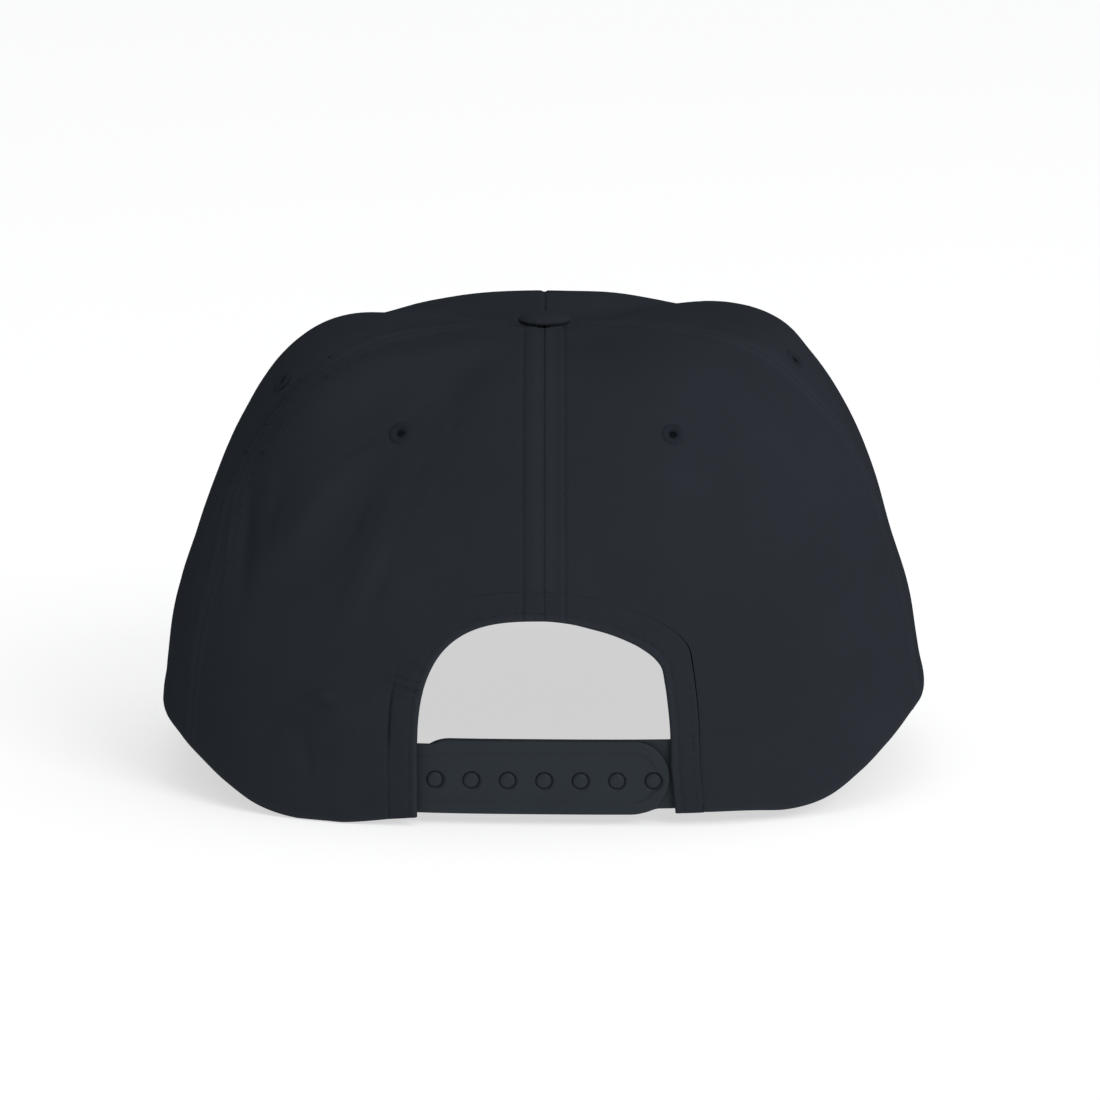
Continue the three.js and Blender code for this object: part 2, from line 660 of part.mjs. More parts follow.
// The crown stands behind the middle, so that the origin is under the middle of the whole cap
const cap = new THREE.Group();
cap.position.y = (BACK_REACH + HEM_PROUD - FRONT_REACH - PEAK_REACH) / 2;
cap.add(...crownPanels());
cap.add(openingHem());
cap.add(...straps());
cap.add(sweatband());
cap.add(peak());
cap.add(button());
cap.add(...EYELETS.map(eyelet));

export default cap;
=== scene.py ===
"""Looks of a surf cap around its fixed frame: stitched cloth panels, hem, snap strap, peak and sweatband.

Metres, +Z up, +Y forwards over the peak, +X to the wearer's right. A place on the crown is an azimuth in
degrees round from the centre back and a rise, 0 at the rim and 1 under the button.
"""

import math

import bmesh
import bpy
import numpy as np
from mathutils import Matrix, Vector
from mathutils.bvhtree import BVHTree


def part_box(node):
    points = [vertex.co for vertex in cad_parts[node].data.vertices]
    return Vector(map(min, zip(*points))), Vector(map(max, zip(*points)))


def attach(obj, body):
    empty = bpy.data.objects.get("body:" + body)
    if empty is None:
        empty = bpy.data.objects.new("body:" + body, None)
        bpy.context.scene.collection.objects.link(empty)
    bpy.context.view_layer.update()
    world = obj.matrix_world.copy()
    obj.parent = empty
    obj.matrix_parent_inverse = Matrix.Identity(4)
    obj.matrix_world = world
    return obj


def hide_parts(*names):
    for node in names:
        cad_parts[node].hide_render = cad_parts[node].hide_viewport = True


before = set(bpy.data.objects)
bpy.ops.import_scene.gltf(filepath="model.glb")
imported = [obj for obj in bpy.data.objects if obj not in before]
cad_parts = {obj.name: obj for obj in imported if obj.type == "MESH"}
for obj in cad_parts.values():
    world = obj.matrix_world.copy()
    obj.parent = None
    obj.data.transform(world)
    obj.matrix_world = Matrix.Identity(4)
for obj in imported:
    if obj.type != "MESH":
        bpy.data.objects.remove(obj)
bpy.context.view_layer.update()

MM = 0.001

# Crown, as in the frame
HALF_WIDTH = 98.5 * MM
BACK_REACH = 80 * MM
FRONT_REACH = 84 * MM
CROWN_HEIGHT = 111 * MM
FRONT_LIFT = 31 * MM
FOLD_HEIGHT = 3 * MM
CLOTH_RUN_SHARE = 1.65
CLOTH = 1.2 * MM

# Back opening and its hem
OPENING_WIDTH = 62 * MM
OPENING_TOP = 50.5 * MM
OPENING_SHOULDER = 15 * MM
OPENING_ARCH_POWER = 3
OPENING_SPLAY = 1.5 * MM
HEM_WIDTH = 7 * MM
HEM_PROUD = 0.3 * MM
HEM_THICKNESS = 1.8 * MM
HEM_EDGE_RADIUS = 0.8 * MM
HEM_LIP = 1 * MM

# Snap strap
STRAP_WIDTH = 18.5 * MM
STRAP_TAIL_WIDTH = 17.4 * MM
STRAP_THICKNESS = 1.2 * MM
STRAP_TAIL = 21 * MM
STRAP_TAIL_SHOWN = 2.8 * MM
STRAP_TAPER = 4.2 * MM
STRAP_LIFT = 2.6 * MM
STRAP_TUCK = 1.2 * MM
STRAP_BORDER = 2.9 * MM
STRAP_RECESS = 0.3 * MM
TAIL_CLEARANCE = 0.7 * MM
SNAP_PITCH = 8.9 * MM
SNAP_MARGIN = 4 * MM
SNAP_DROP = 0.8 * MM
SNAP_PEG_RADIUS = 1.95 * MM
SNAP_HOLE_RADIUS = 2.0 * MM
GAP = 0.3 * MM

# Sweatband
SWEATBAND_HEIGHT = 28 * MM
SWEATBAND_THICKNESS = 1.2 * MM
SWEATBAND_EASE = 12 * MM

# Peak
PEAK_REACH = 67 * MM
PEAK_DROP = 22 * MM
PEAK_THICKNESS = 3 * MM
PEAK_OVERHANG = 2.5 * MM
PEAK_CORNER_ANGLE = 118
PEAK_EDGE_POWER = 2.5
PEAK_REST_ANGLE = 50
PEAK_PRESS = 0.5 * MM
ROOT_GAP = 0.05 * MM
PEAK_ROW_INSETS = (3.2, 9.2, 15.2, 21.2, 27.2, 33.2, 39.2)

# Button and eyelets
BUTTON_RADIUS = 6.6 * MM
EYELET_RADIUS = 3.4 * MM
EYELET_HOLE_RADIUS = 1.2 * MM
EYELET_THREAD_REACH = 1 * MM

# Seams and thread
SEAM_ALLOWANCE = 5.1 * MM
THREAD = 0.3 * MM
STITCH_LENGTH = 2.5 * MM
STITCH_PITCH = 2.9 * MM

# The crown stands behind the middle of the whole cap
CROWN_SHIFT = (BACK_REACH + HEM_PROUD - FRONT_REACH - PEAK_REACH) / 2

# Layers inside the hem: the strap tails lie behind it, and the sweatband covers them
HALF_OPENING = OPENING_WIDTH / 2
TAIL_DEPTH = max(HEM_THICKNESS - HEM_PROUD, CLOTH) + TAIL_CLEARANCE
COVER_DEPTH = TAIL_DEPTH + STRAP_THICKNESS + GAP


def table(names, *rows):
    """Rows of numbers under named columns, as one array for each column."""
    return dict(zip(names.split(), np.array(rows, float).T))


# Level sections from the rim to the button, in shares of the crown's sizes
SECTIONS = table(
    "rise left right back front left_height right_height back_height front_height back_power front_power",
    (0.00, 0.994, 0.990, 1.000, 1.000, 0.000, 0.000, 0.000, 0.000, 2.9, 2.2),
    (0.12, 0.981, 0.972, 1.000, 0.995, 0.126, 0.126, 0.151, 0.131, 2.9, 2.2),
    (0.25, 0.960, 0.950, 0.985, 0.980, 0.268, 0.268, 0.313, 0.282, 2.8, 2.2),
    (0.38, 0.912, 0.905, 0.945, 0.950, 0.424, 0.424, 0.474, 0.444, 2.7, 2.2),
    (0.50, 0.858, 0.860, 0.880, 0.900, 0.586, 0.586, 0.636, 0.616, 2.6, 2.2),
    (0.62, 0.785, 0.793, 0.785, 0.820, 0.752, 0.758, 0.792, 0.778, 2.6, 2.2),
    (0.74, 0.690, 0.700, 0.640, 0.710, 0.899, 0.909, 0.914, 0.929, 2.6, 2.3),
    (0.83, 0.560, 0.600, 0.470, 0.570, 0.985, 1.010, 0.975, 1.012, 2.5, 2.3),
    (0.91, 0.380, 0.400, 0.280, 0.380, 1.015, 1.040, 1.000, 1.036, 2.2, 2.2),
    (1.00, 0.000, 0.000, 0.000, 0.000, 1.013, 1.013, 1.013, 1.013, 2.0, 2.0),
)

# Height of the rim over the floor, in shares of FRONT_LIFT
RIM = table(
    "azimuth left right",
    (0, 0.090, 0.097),
    (15, 0.085, 0.097),
    (24, 0.055, 0.100),
    (33, 0.000, 0.095),
    (40, 0.000, 0.075),
    (46, 0.060, 0.135),
    (52, 0.205, 0.300),
    (58, 0.355, 0.470),
    (65, 0.475, 0.615),
    (74, 0.530, 0.662),
    (88, 0.545, 0.665),
    (105, 0.600, 0.671),
    (125, 0.710, 0.730),
    (150, 0.910, 0.910),
    (168, 0.990, 0.990),
    (180, 1.000, 1.000),
)

# Seams of the crown, in degrees from the centre back
SEAMS = table(
    "rise centre_back back_left back_right front_left front_right",
    (0.00, 0, -60.0, 70.0, -121, 121),
    (0.20, 0, -60.5, 71.0, -121, 121),
    (0.38, 0, -62.0, 72.5, -121, 121),
    (0.50, 0, -65.0, 73.0, -121, 121),
    (0.60, 0, -64.0, 70.0, -121, 121),
    (0.70, 0, -61.5, 66.0, -121, 121),
    (0.80, 0, -60.5, 62.5, -121, 121),
    (0.90, 0, -62.0, 58.0, -121, 121),
    (1.00, 0, -62.0, 56.0, -121, 121),
)
SEAM_NAMES = ("centre_back", "back_left", "back_right", "front_left", "front_right")

# Stretch of the opening's arch from its even form, in degrees round from its right foot to its top
ARCH_FORM = table(
    "turn stretch",
    (0, 0.000),
    (15, 0.000),
    (25, 0.016),
    (32, 0.034),
    (38, 0.024),
    (47, -0.003),
    (60, -0.031),
    (75, -0.035),
    (85, -0.014),
    (90, 0.000),
)

# Soft folds and dents. Lengths are shares of HALF_WIDTH, heights of FOLD_HEIGHT, and a turn of 0 degrees
# runs round the crown and 90 up it.
FOLDS = table(
    "azimuth rise half_length half_breadth turn height",
    (-129, 0.92, 0.23, 0.14, 90, -1.05),
    (136, 0.91, 0.23, 0.12, 90, -0.95),
    (-100, 0.84, 0.16, 0.14, 90, 0.35),
    (-67, 0.70, 0.22, 0.05, 75, -0.35),
    (-54, 0.73, 0.26, 0.08, 60, 0.60),
    (-25, 0.78, 0.18, 0.06, 88, -0.35),
    (-39, 0.53, 0.17, 0.055, 72, -0.50),
    (-49, 0.50, 0.15, 0.050, 74, 0.45),
    (-57, 0.46, 0.14, 0.030, 108, -0.38),
    (-33, 0.46, 0.15, 0.025, 75, 0.25),
    (-32, 0.28, 0.16, 0.060, -6, -0.40),
    (-36, 0.20, 0.08, 0.050, 0, 0.35),
    (57, 0.70, 0.20, 0.06, 95, 0.30),
)

# Finer creases of the worn cloth, laid like the folds, with heights in shares of CREASE_HEIGHT
CREASE_HEIGHT = 0.7 * MM
CREASES = table(
    "azimuth rise half_length half_breadth turn height",
    # under the lit swell, from the seam up past the left eyelet
    (-51.0, 0.700, 0.240, 0.075, 60, 1.20),
    (-41.3, 0.640, 0.090, 0.014, 45, -0.80),
    (-31.5, 0.712, 0.050, 0.012, 66, -0.40),
    # fine diagonals between the left eyelet and the opening
    (-21.5, 0.686, 0.028, 0.010, 66, -0.55),
    (-26.5, 0.600, 0.110, 0.012, 70, -0.30),
    (-24.0, 0.560, 0.100, 0.012, 72, 0.25),
    (-34.6, 0.545, 0.060, 0.014, 80, 0.35),
    (-31.4, 0.448, 0.110, 0.013, 75, 0.70),
    (-45.5, 0.520, 0.110, 0.030, 74, 1.00),
    (-35.8, 0.530, 0.100, 0.024, 72, -0.80),
    (-29.4, 0.420, 0.080, 0.012, 75, -0.30),
    # upright folds beside the left seam
    (-60.8, 0.430, 0.130, 0.013, 110, 0.80),
    (-58.4, 0.470, 0.110, 0.012, 108, -0.80),
    (-55.6, 0.560, 0.050, 0.012, 100, 0.40),
    (-52.6, 0.520, 0.060, 0.012, 96, -0.30),
    # small folds that cross the hem over the left end of the tab
    (-23.6, 0.264, 0.050, 0.0085, -24, 0.80),
    (-23.4, 0.249, 0.056, 0.0085, -24, 0.90),
    (-24.2, 0.234, 0.050, 0.0085, -24, 0.70),
    (-21.8, 0.287, 0.014, 0.006, -24, 0.40),
    # dimple and low creases at the left
    (-37.0, 0.238, 0.030, 0.014, 0, 1.10),
    (-37.0, 0.216, 0.040, 0.012, 0, -0.90),
    (-28.6, 0.226, 0.026, 0.010, -50, 0.35),
    (-33.0, 0.134, 0.070, 0.013, -3, 0.55),
    (-38.6, 0.118, 0.070, 0.016, 98, -0.60),
    (-42.5, 0.150, 0.060, 0.020, 80, 0.40),
    (-30.0, 0.040, 0.040, 0.014, 6, -0.45),
    # small folds at the right of the top, along the seam
    (49.0, 0.935, 0.060, 0.012, -62, -0.50),
    (52.0, 0.905, 0.060, 0.014, -58, 0.40),
    (24.0, 0.930, 0.060, 0.020, 30, 0.35),
)

# Depth of the groove between hem and panel, in shares of GROOVE_DEPTH, along the opening's line from the
# left tab over the arch to the right tab
GROOVE_DEPTH = 0.75 * MM
GROOVE = table(
    "way depth",
    (0.00, 0.30),
    (0.10, 0.30),
    (0.13, 1.00),
    (0.18, 1.00),
    (0.21, 0.25),
    (0.30, 0.02),
    (0.50, 0.01),
    (0.72, 0.02),
    (0.80, 0.12),
    (0.86, 0.28),
    (1.00, 0.28),
)

EYELETS = {
    "eyelet_back_left": (-32.8, 0.672),
    "eyelet_back_right": (29.2, 0.664),
    "eyelet_side_left": (-71.5, 0.729),
    "eyelet_side_right": (71.5, 0.766),
}


def between(rows, key, place, column):
    """A column's value at a place between its rows, on a smooth curve through them."""
    keys, values = rows[key], rows[column]
    place = np.asarray(place, float)
    last = len(keys) - 1
    before = np.maximum(np.arange(last + 1) - 1, 0)
    after = np.minimum(np.arange(last + 1) + 1, last)
    slopes = (values[after] - values[before]) / (keys[after] - keys[before])
    low = np.clip(np.searchsorted(keys, place, side="right") - 1, 0, last - 1)
    span = keys[low + 1] - keys[low]
    t = np.clip((place - keys[low]) / span, 0, 1)
    return (
        (2 * t**3 - 3 * t**2 + 1) * values[low]
        + (t**3 - 2 * t**2 + t) * span * slopes[low]
        + (3 * t**2 - 2 * t**3) * values[low + 1]
        + (t**3 - t**2) * span * slopes[low + 1]
    )


def step_up(value, start, end):
    """0 before start, 1 after end, and smooth between them."""
    t = np.clip((value - start) / (end - start), 0, 1)
    return t * t * (3 - 2 * t)


def hump(value, half_width):
    """1 at 0, fading to nothing over about two half widths."""
    return np.exp(-((value / half_width) ** 2))


def mix(low, high, share):
    return low + (high - low) * share


def wrapped(degrees):
    """Degrees brought between -180 and 180."""
    return degrees - 360 * np.round(np.asarray(degrees, float) / 360)


# Smooth form of the crown


def plan_radius(azimuth, rise):
    """Distance from the crown's axis in plan."""
    angle = np.radians(azimuth)
    sine, cosine = np.sin(angle), np.cos(angle)
    column = lambda name: between(SECTIONS, "rise", rise, name)
    across = HALF_WIDTH * np.where(sine >= 0, column("right"), column("left"))
    along = np.where(cosine < 0, FRONT_REACH * column("front"), BACK_REACH * column("back"))
    power = np.where(cosine < 0, column("front_power"), column("back_power"))
    tiny = 1e-7
    sides = (np.abs(sine) / np.maximum(across, tiny)) ** power
    ends = (np.abs(cosine) / np.maximum(along, tiny)) ** power
    return (sides + ends) ** (-1 / power)


def rim_height(azimuth):
    """Height of the rim over the floor."""
    round_back = np.abs(wrapped(azimuth))
    right = between(RIM, "azimuth", round_back, "right")
    left = between(RIM, "azimuth", round_back, "left")
    return FRONT_LIFT * np.maximum(np.where(wrapped(azimuth) >= 0, right, left), 0)


def smooth_crown(azimuth, rise):
    """Points of the crown's outer face without folds, in the frame."""
    azimuth, rise = np.broadcast_arrays(np.asarray(azimuth, float), np.asarray(rise, float))
    angle = np.radians(azimuth)
    sine, cosine = np.sin(angle), np.cos(angle)
    column = lambda name: between(SECTIONS, "rise", rise, name)
    share = np.where(sine >= 0, column("right_height"), column("left_height")) * sine**2
    share = share + np.where(cosine < 0, column("front_height"), column("back_height")) * cosine**2
    radius = plan_radius(azimuth, rise)
    height = mix(rim_height(azimuth), CROWN_HEIGHT, share)
    return np.stack([radius * sine, CROWN_SHIFT - radius * cosine, height], -1)


PROBE_ANGLE = 0.4
PROBE_SHARE = 0.004
LEVEL_SHARE = 0.05


def outward(azimuth, rise):
    """Direction out of the crown's face, level at the rim."""
    azimuth, rise = np.broadcast_arrays(np.asarray(azimuth, float), np.asarray(rise, float))
    level = np.minimum(rise, 1 - 2 * PROBE_SHARE)
    around = smooth_crown(azimuth + PROBE_ANGLE, level) - smooth_crown(azimuth - PROBE_ANGLE, level)
    lower = smooth_crown(azimuth, np.maximum(level - PROBE_SHARE, 0))
    up = smooth_crown(azimuth, level + PROBE_SHARE) - lower
    direction = np.cross(around, up)
    direction[..., 2] *= np.minimum(rise / LEVEL_SHARE, 1)
    return direction / np.linalg.norm(direction, axis=-1, keepdims=True)


# Relief of the cloth over the smooth form


def laid_relief(rows, azimuth, rise):
    """Sum of the humps and hollows of a table of folds."""
    radius_share = plan_radius(azimuth, rise) / HALF_WIDTH
    total = np.zeros(np.shape(azimuth))
    for place, at, half_length, half_breadth, turn, height in zip(*rows.values()):
        around = np.radians(wrapped(azimuth - place)) * radius_share
        up = (rise - at) * CLOTH_RUN_SHARE
        turned = math.radians(turn)
        lengthwise = around * math.cos(turned) + up * math.sin(turned)
        crosswise = up * math.cos(turned) - around * math.sin(turned)
        total = total + height * hump(lengthwise, half_length) * hump(crosswise, half_breadth)
    return total


# Random waves: their seed, number, longest and shortest length, and height
BROAD_WAVES = (11, 22, 48 * MM, 14 * MM, 0.16 * MM)
FINE_WAVES = (12, 18, 13 * MM, 5 * MM, 0.028 * MM)
SWEATBAND_WAVES = (31, 14, 60 * MM, 18 * MM, 0.25 * MM)
PEAK_WAVES = (41, 12, 40 * MM, 12 * MM, 0.07 * MM)


def unevenness(points, seed, waves, longest, shortest, height):
    """Soft random waves of cloth that never lies quite smooth."""
    draw = np.random.default_rng(seed)
    total = np.zeros(points.shape[:-1])
    for _ in range(waves):
        length = math.exp(draw.uniform(math.log(shortest), math.log(longest)))
        way = draw.normal(size=3)
        way /= np.linalg.norm(way)
        phase = draw.uniform(0, math.tau)
        total = total + length / longest * np.sin(points @ way * math.tau / length + phase)
    return total * height / math.sqrt(waves)


PUCKER_REACH = 3.2 * MM
PUCKER_PITCH = 3.1 * MM
PUCKER_HEIGHT = 0.12 * MM
CHANNEL_BREADTH = 0.4 * MM
BUTTON_CLEAR = 6 * MM
BUTTON_FADE = 4 * MM
SEAM_END = 0.05
ALLOWANCE_START = SEAM_ALLOWANCE - 0.9 * MM
ALLOWANCE_END = SEAM_ALLOWANCE + 0.5 * MM
WAIST_RISE = 0.66
WAIST_REACH = 0.2

# Each seam's looks in millimetres: depth and half breadth of its valley, height of the allowance sewn down
# beside it, and depth of the channels of its two rows of stitches. Puckers are shares of PUCKER_HEIGHT.
SEAM_LOOKS = table(
    "depth breadth allowance channel pucker",
    (0.26, 0.24, 0.10, 0.30, 0.2),
    (0.07, 0.60, 0.08, 0.03, 1.9),
    (0.03, 0.60, 0.02, 0.02, 0.3),
    (0.08, 0.60, 0.04, 0.03, 0.8),
    (0.05, 0.60, 0.04, 0.03, 0.5),
)


def seam_distance(name, azimuth, rise):
    """Way round the crown from a seam, positive to the right of it."""
    at_seam = between(SEAMS, "rise", rise, name)
    return np.radians(wrapped(azimuth - at_seam)) * plan_radius(azimuth, rise)


def seam_relief(azimuth, rise):
    """Valleys of the seams, the allowance that is sewn down on both sides of them, and its puckers."""
    clear_of_button = step_up(plan_radius(azimuth, rise), BUTTON_CLEAR, BUTTON_CLEAR + BUTTON_FADE)
    total = np.zeros(np.shape(azimuth))
    clear_of_rim = step_up(rise, 0, SEAM_END)
    for number, looks in enumerate(zip(SEAM_NAMES, *SEAM_LOOKS.values())):
        name, depth, breadth, height, sunk, gathered = looks
        away = np.abs(seam_distance(name, azimuth, rise))
        side = np.sign(seam_distance(name, azimuth, rise))
        valley = -depth * MM * hump(away, breadth * MM) * clear_of_rim
        allowance = height * MM * (1 - step_up(away, ALLOWANCE_START, ALLOWANCE_END))
        channel = -sunk * MM * hump(away - SEAM_ALLOWANCE, CHANNEL_BREADTH)
        climb = rise * CLOTH_RUN_SHARE * HALF_WIDTH * math.tau / PUCKER_PITCH
        # uneven waves, whose phases differ between the seams and their two sides
        gusts = 0.55 + 0.45 * np.sin(0.37 * climb + 2.3 * side + number)
        ripple = gusts * (np.sin(climb + 1.7 * side + number) + 0.6 * np.sin(1.73 * climb - 2.1 * side))
        near_rows = hump(away - SEAM_ALLOWANCE, PUCKER_REACH) + 0.5 * hump(away, SEAM_ALLOWANCE / 2)
        waist = mix(0.35, 1, hump(rise - WAIST_RISE, WAIST_REACH))
        pucker = PUCKER_HEIGHT * gathered * waist * ripple * near_rows
        total = total + valley + (allowance + channel + pucker) * clear_of_button * clear_of_rim
    return total


DART_LENGTH = 55 * MM
DART_DEPTH = 0.5 * MM
DART_BREADTH = 0.45 * MM
DART_FADE_START = DART_LENGTH * 0.7
DART_FADE_END = DART_LENGTH * 1.6


def dart_relief(azimuth, rise):
    """Short centre dart of the front panel, from the button forwards."""
    radius = plan_radius(azimuth, rise)
    away = np.radians(wrapped(azimuth - 180)) * radius
    ahead = np.cos(np.radians(azimuth)) < 0
    fade = 1 - step_up(radius, DART_FADE_START, DART_FADE_END)
    return np.where(ahead, -DART_DEPTH * hump(away, DART_BREADTH) * fade, 0)


LEDGE_HEIGHT = 0.3 * MM
LEDGE_SOFTNESS = 1.2 * MM
LEDGE_END_SOFTNESS = 2 * MM
LEDGE_CREASE_SHARE = 0.6


def tail_relief(points):
    """The strap's tails show through the cloth of the back as a low ledge."""
    end = HALF_OPENING + STRAP_TAIL
    top = STRAP_LIFT + (STRAP_WIDTH + STRAP_TAIL_WIDTH) / 2
    x, z = np.abs(points[..., 0]), points[..., 2]
    under = 1 - step_up(z, top - LEDGE_SOFTNESS, top + LEDGE_SOFTNESS)
    within = 1 - step_up(x, end - LEDGE_END_SOFTNESS, end + LEDGE_END_SOFTNESS)
    behind_crease = hump(z - top - LEDGE_SOFTNESS, LEDGE_SOFTNESS)
    at_back = points[..., 1] < CROWN_SHIFT
    return np.where(at_back, LEDGE_HEIGHT * within * (under - LEDGE_CREASE_SHARE * behind_crease), 0)


def cloth_relief(azimuth, rise, points):
    """How far the cloth stands out of the smooth crown."""
    relief = FOLD_HEIGHT * laid_relief(FOLDS, azimuth, rise)
    relief = relief + CREASE_HEIGHT * laid_relief(CREASES, azimuth, rise)
    relief = relief + tail_relief(points) + dart_relief(azimuth, rise)
    relief = relief + unevenness(points, *BROAD_WAVES)
    return relief + unevenness(points, *FINE_WAVES)


def edge_round(way, radius):
    """How far a face draws in at a rounded edge, a way inside that edge."""
    share = np.clip(1 - way / radius, 0, 1)
    return radius * (1 - np.sqrt(1 - share**2))


# Meshes

MERGE_DISTANCE = 0.002 * MM
SHARP_ANGLE = 58
HOLE_SHARP_ANGLE = 32
PEG_SHARP_ANGLE = 45


def placed(name, data):
    """New object in the scene that holds a mesh, lamp or camera."""
    made = bpy.data.objects.new(name, data)
    bpy.context.scene.collection.objects.link(made)
    return made


def graded(length, spots, coarse, growth=0.22):
    """Places from 0 to a length, closer together near the spots, which are pairs of place and spacing."""
    places = [0.0]
    while places[-1] < length:
        here = places[-1]
        spacing = min([coarse] + [fine + growth * abs(here - spot) for spot, fine in spots])
        places.append(here + spacing)
    return np.array(places) * (length / places[-1])


def wall_faces(cells, folded):
    """Faces of a closed wall between two like grids of points, where cells marks the grid's kept cells. A
    folded grid's last row meets itself and needs no side."""
    rows, columns = cells.shape[0] + 1, cells.shape[1] + 1
    number = np.arange(rows * columns).reshape(rows, columns)
    across = rows * columns
    corners = (number[:-1, :-1], number[1:, :-1], number[1:, 1:], number[:-1, 1:])
    outer = np.stack(corners, -1)[cells]
    faces = [outer, outer[:, ::-1] + across]
    ringed = np.pad(cells, 1)
    ringed[-1] = folded
    neighbours = (ringed[1:-1, :-2], ringed[2:, 1:-1], ringed[1:-1, 2:], ringed[:-2, 1:-1])
    for side, neighbour in enumerate(neighbours):
        open_side = cells & ~neighbour
        start, end = corners[side][open_side], corners[(side + 1) % 4][open_side]
        faces.append(np.stack([end, start, start + across, end + across], -1))
    return np.concatenate(faces)


def finished_mesh(name, points, faces, uv=None, wear=None, sharp=SHARP_ANGLE):
    """Clean closed mesh object from arrays of points and faces, smooth but for its sharp edges."""
    mesh = bpy.data.meshes.new(name)
    mesh.from_pydata(points.tolist(), [], faces.tolist())
    if uv is not None:
        layer = mesh.uv_layers.new(name="cloth_way")
        corner = np.empty(len(mesh.loops), int)
        mesh.loops.foreach_get("vertex_index", corner)
        layer.data.foreach_set("uv", uv[corner].astype(np.float32).ravel())
    if wear is not None:
        mesh.attributes.new("wear", "FLOAT", "POINT").data.foreach_set("value", wear.astype(np.float32))
    body = bmesh.new()
    body.from_mesh(mesh)
    loose = [vertex for vertex in body.verts if not vertex.link_faces]
    bmesh.ops.delete(body, geom=loose, context="VERTS")
    bmesh.ops.remove_doubles(body, verts=body.verts, dist=MERGE_DISTANCE)
    body.to_mesh(mesh)
    body.free()
    mesh.shade_smooth()
    mesh.set_sharp_from_angle(angle=math.radians(sharp))
    return placed(name, mesh)


def wall(name, outer, inner, cells=None, uv=None, wear=None, folded=False):
    """Closed wall between two grids of points, its outer face outwards."""
    if cells is None:
        cells = np.ones((outer.shape[0] - 1, outer.shape[1] - 1), bool)
    faces = wall_faces(cells, folded)
    points = np.concatenate([outer.reshape(-1, 3), inner.reshape(-1, 3)])
    middle = faces[: int(cells.sum())]
    first, second, third, fourth = (points[middle[:, corner]] for corner in range(4))
    normal = np.cross(third - first, fourth - second)
    out = points[middle[:, 0]] - points[middle[:, 0] + outer.shape[0] * outer.shape[1]]
    if (normal * out).sum() < 0:
        faces = faces[:, ::-1]
    twice = lambda grid, width: None if grid is None else np.tile(grid.reshape(-1, width), (2, 1))
    worn = None if wear is None else np.tile(wear.ravel(), 2)
    return finished_mesh(name, points, faces, twice(uv, 2), worn)


def ring_faces(rows, sides):
    """Faces between each ring of points and the next."""
    number = np.arange(rows * sides).reshape(rows, sides)
    after = np.roll(number, -1, 1)
    return np.stack([number[:-1], after[:-1], after[1:], number[1:]], -1).reshape(-1, 4)


def dress(piece, finish, slot, *nodes):
    """Gives a finished piece its material and its place in the frame."""
    piece.data.materials.clear()
    piece.data.materials.append(finish)
    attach(piece, "root")
    if nodes:
        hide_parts(*nodes)
    return piece


# Materials


def feed(tree, socket, value):
    """Sets a socket to a value or joins an output to it."""
    if isinstance(value, bpy.types.NodeSocket):
        tree.links.new(value, socket)
    else:
        socket.default_value = value


def add_node(tree, kind, inputs=(), **settings):
    """New node with its settings and inputs."""
    made = tree.nodes.new(kind)
    for name, value in settings.items():
        setattr(made, name, value)
    for socket, value in dict(inputs).items():
        feed(tree, made.inputs[socket], value)
    return made


class Finish:
    """Builder of one procedural material."""

    def __init__(self, name):
        self.material = bpy.data.materials.new(name)
        self.material.use_nodes = True
        self.tree = self.material.node_tree
        self.tree.nodes.clear()
        self.shader = self.node("ShaderNodeBsdfPrincipled")
        self.node("ShaderNodeOutputMaterial", {"Surface": self.shader.outputs["BSDF"]})

    def node(self, kind, inputs=(), **settings):
        return add_node(self.tree, kind, inputs, **settings)

    def math(self, operation, first, second=0.0):
        return self.node("ShaderNodeMath", {0: first, 1: second}, operation=operation).outputs[0]

    def noise(self, where, scale, detail, roughness):
        inputs = {"Vector": where, "Scale": scale, "Detail": detail, "Roughness": roughness}
        return self.node("ShaderNodeTexNoise", inputs).outputs["Fac"]

    def blend(self, share, first, second):
        inputs = {"Factor": share, "A": first, "B": second}
        return self.node("ShaderNodeMix", inputs, data_type="RGBA").outputs["Result"]

    def spread(self, value, low, high):
        """A value from 0 to 1 brought between two numbers."""
        inputs = {"Value": value, "To Min": low, "To Max": high}
        return self.node("ShaderNodeMapRange", inputs).outputs["Result"]

    def bump(self, height, distance, strength, before=None):
        inputs = {"Height": height, "Distance": distance, "Strength": strength}
        if before is not None:
            inputs["Normal"] = before
        return self.node("ShaderNodeBump", inputs).outputs["Normal"]

    def set(self, **values):
        for name, value in values.items():
            feed(self.tree, self.shader.inputs[name.replace("_", " ")], value)


def colour(red, green, blue):
    """Linear colour from display values of 0 to 255."""
    channel = lambda value: ((value / 255 + 0.055) / 1.055) ** 2.4
    return (channel(red), channel(green), channel(blue), 1.0)


def woven_height(finish, pitch, twill):
    """Height of crossing yarns over the cloth's own coordinates, plain or in a twill."""
    way = finish.node("ShaderNodeUVMap", uv_map="cloth_way").outputs["UV"]
    parts = finish.node("ShaderNodeSeparateXYZ", {0: way}).outputs
    across = finish.math("MULTIPLY", parts["X"], math.pi / pitch)
    along = finish.math("MULTIPLY", parts["Y"], math.pi / pitch)
    if twill:
        slope = finish.math("ADD", across, along)
        ribs = finish.math("ABSOLUTE", finish.math("SINE", slope))
        yarns = finish.math("ABSOLUTE", finish.math("SINE", across))
        return finish.math("ADD", finish.math("MULTIPLY", ribs, 0.7), finish.math("MULTIPLY", yarns, 0.3))
    crossing = finish.math("MULTIPLY", finish.math("SINE", across), finish.math("SINE", along))
    return finish.math("ADD", finish.math("MULTIPLY", crossing, 0.5), 0.5)


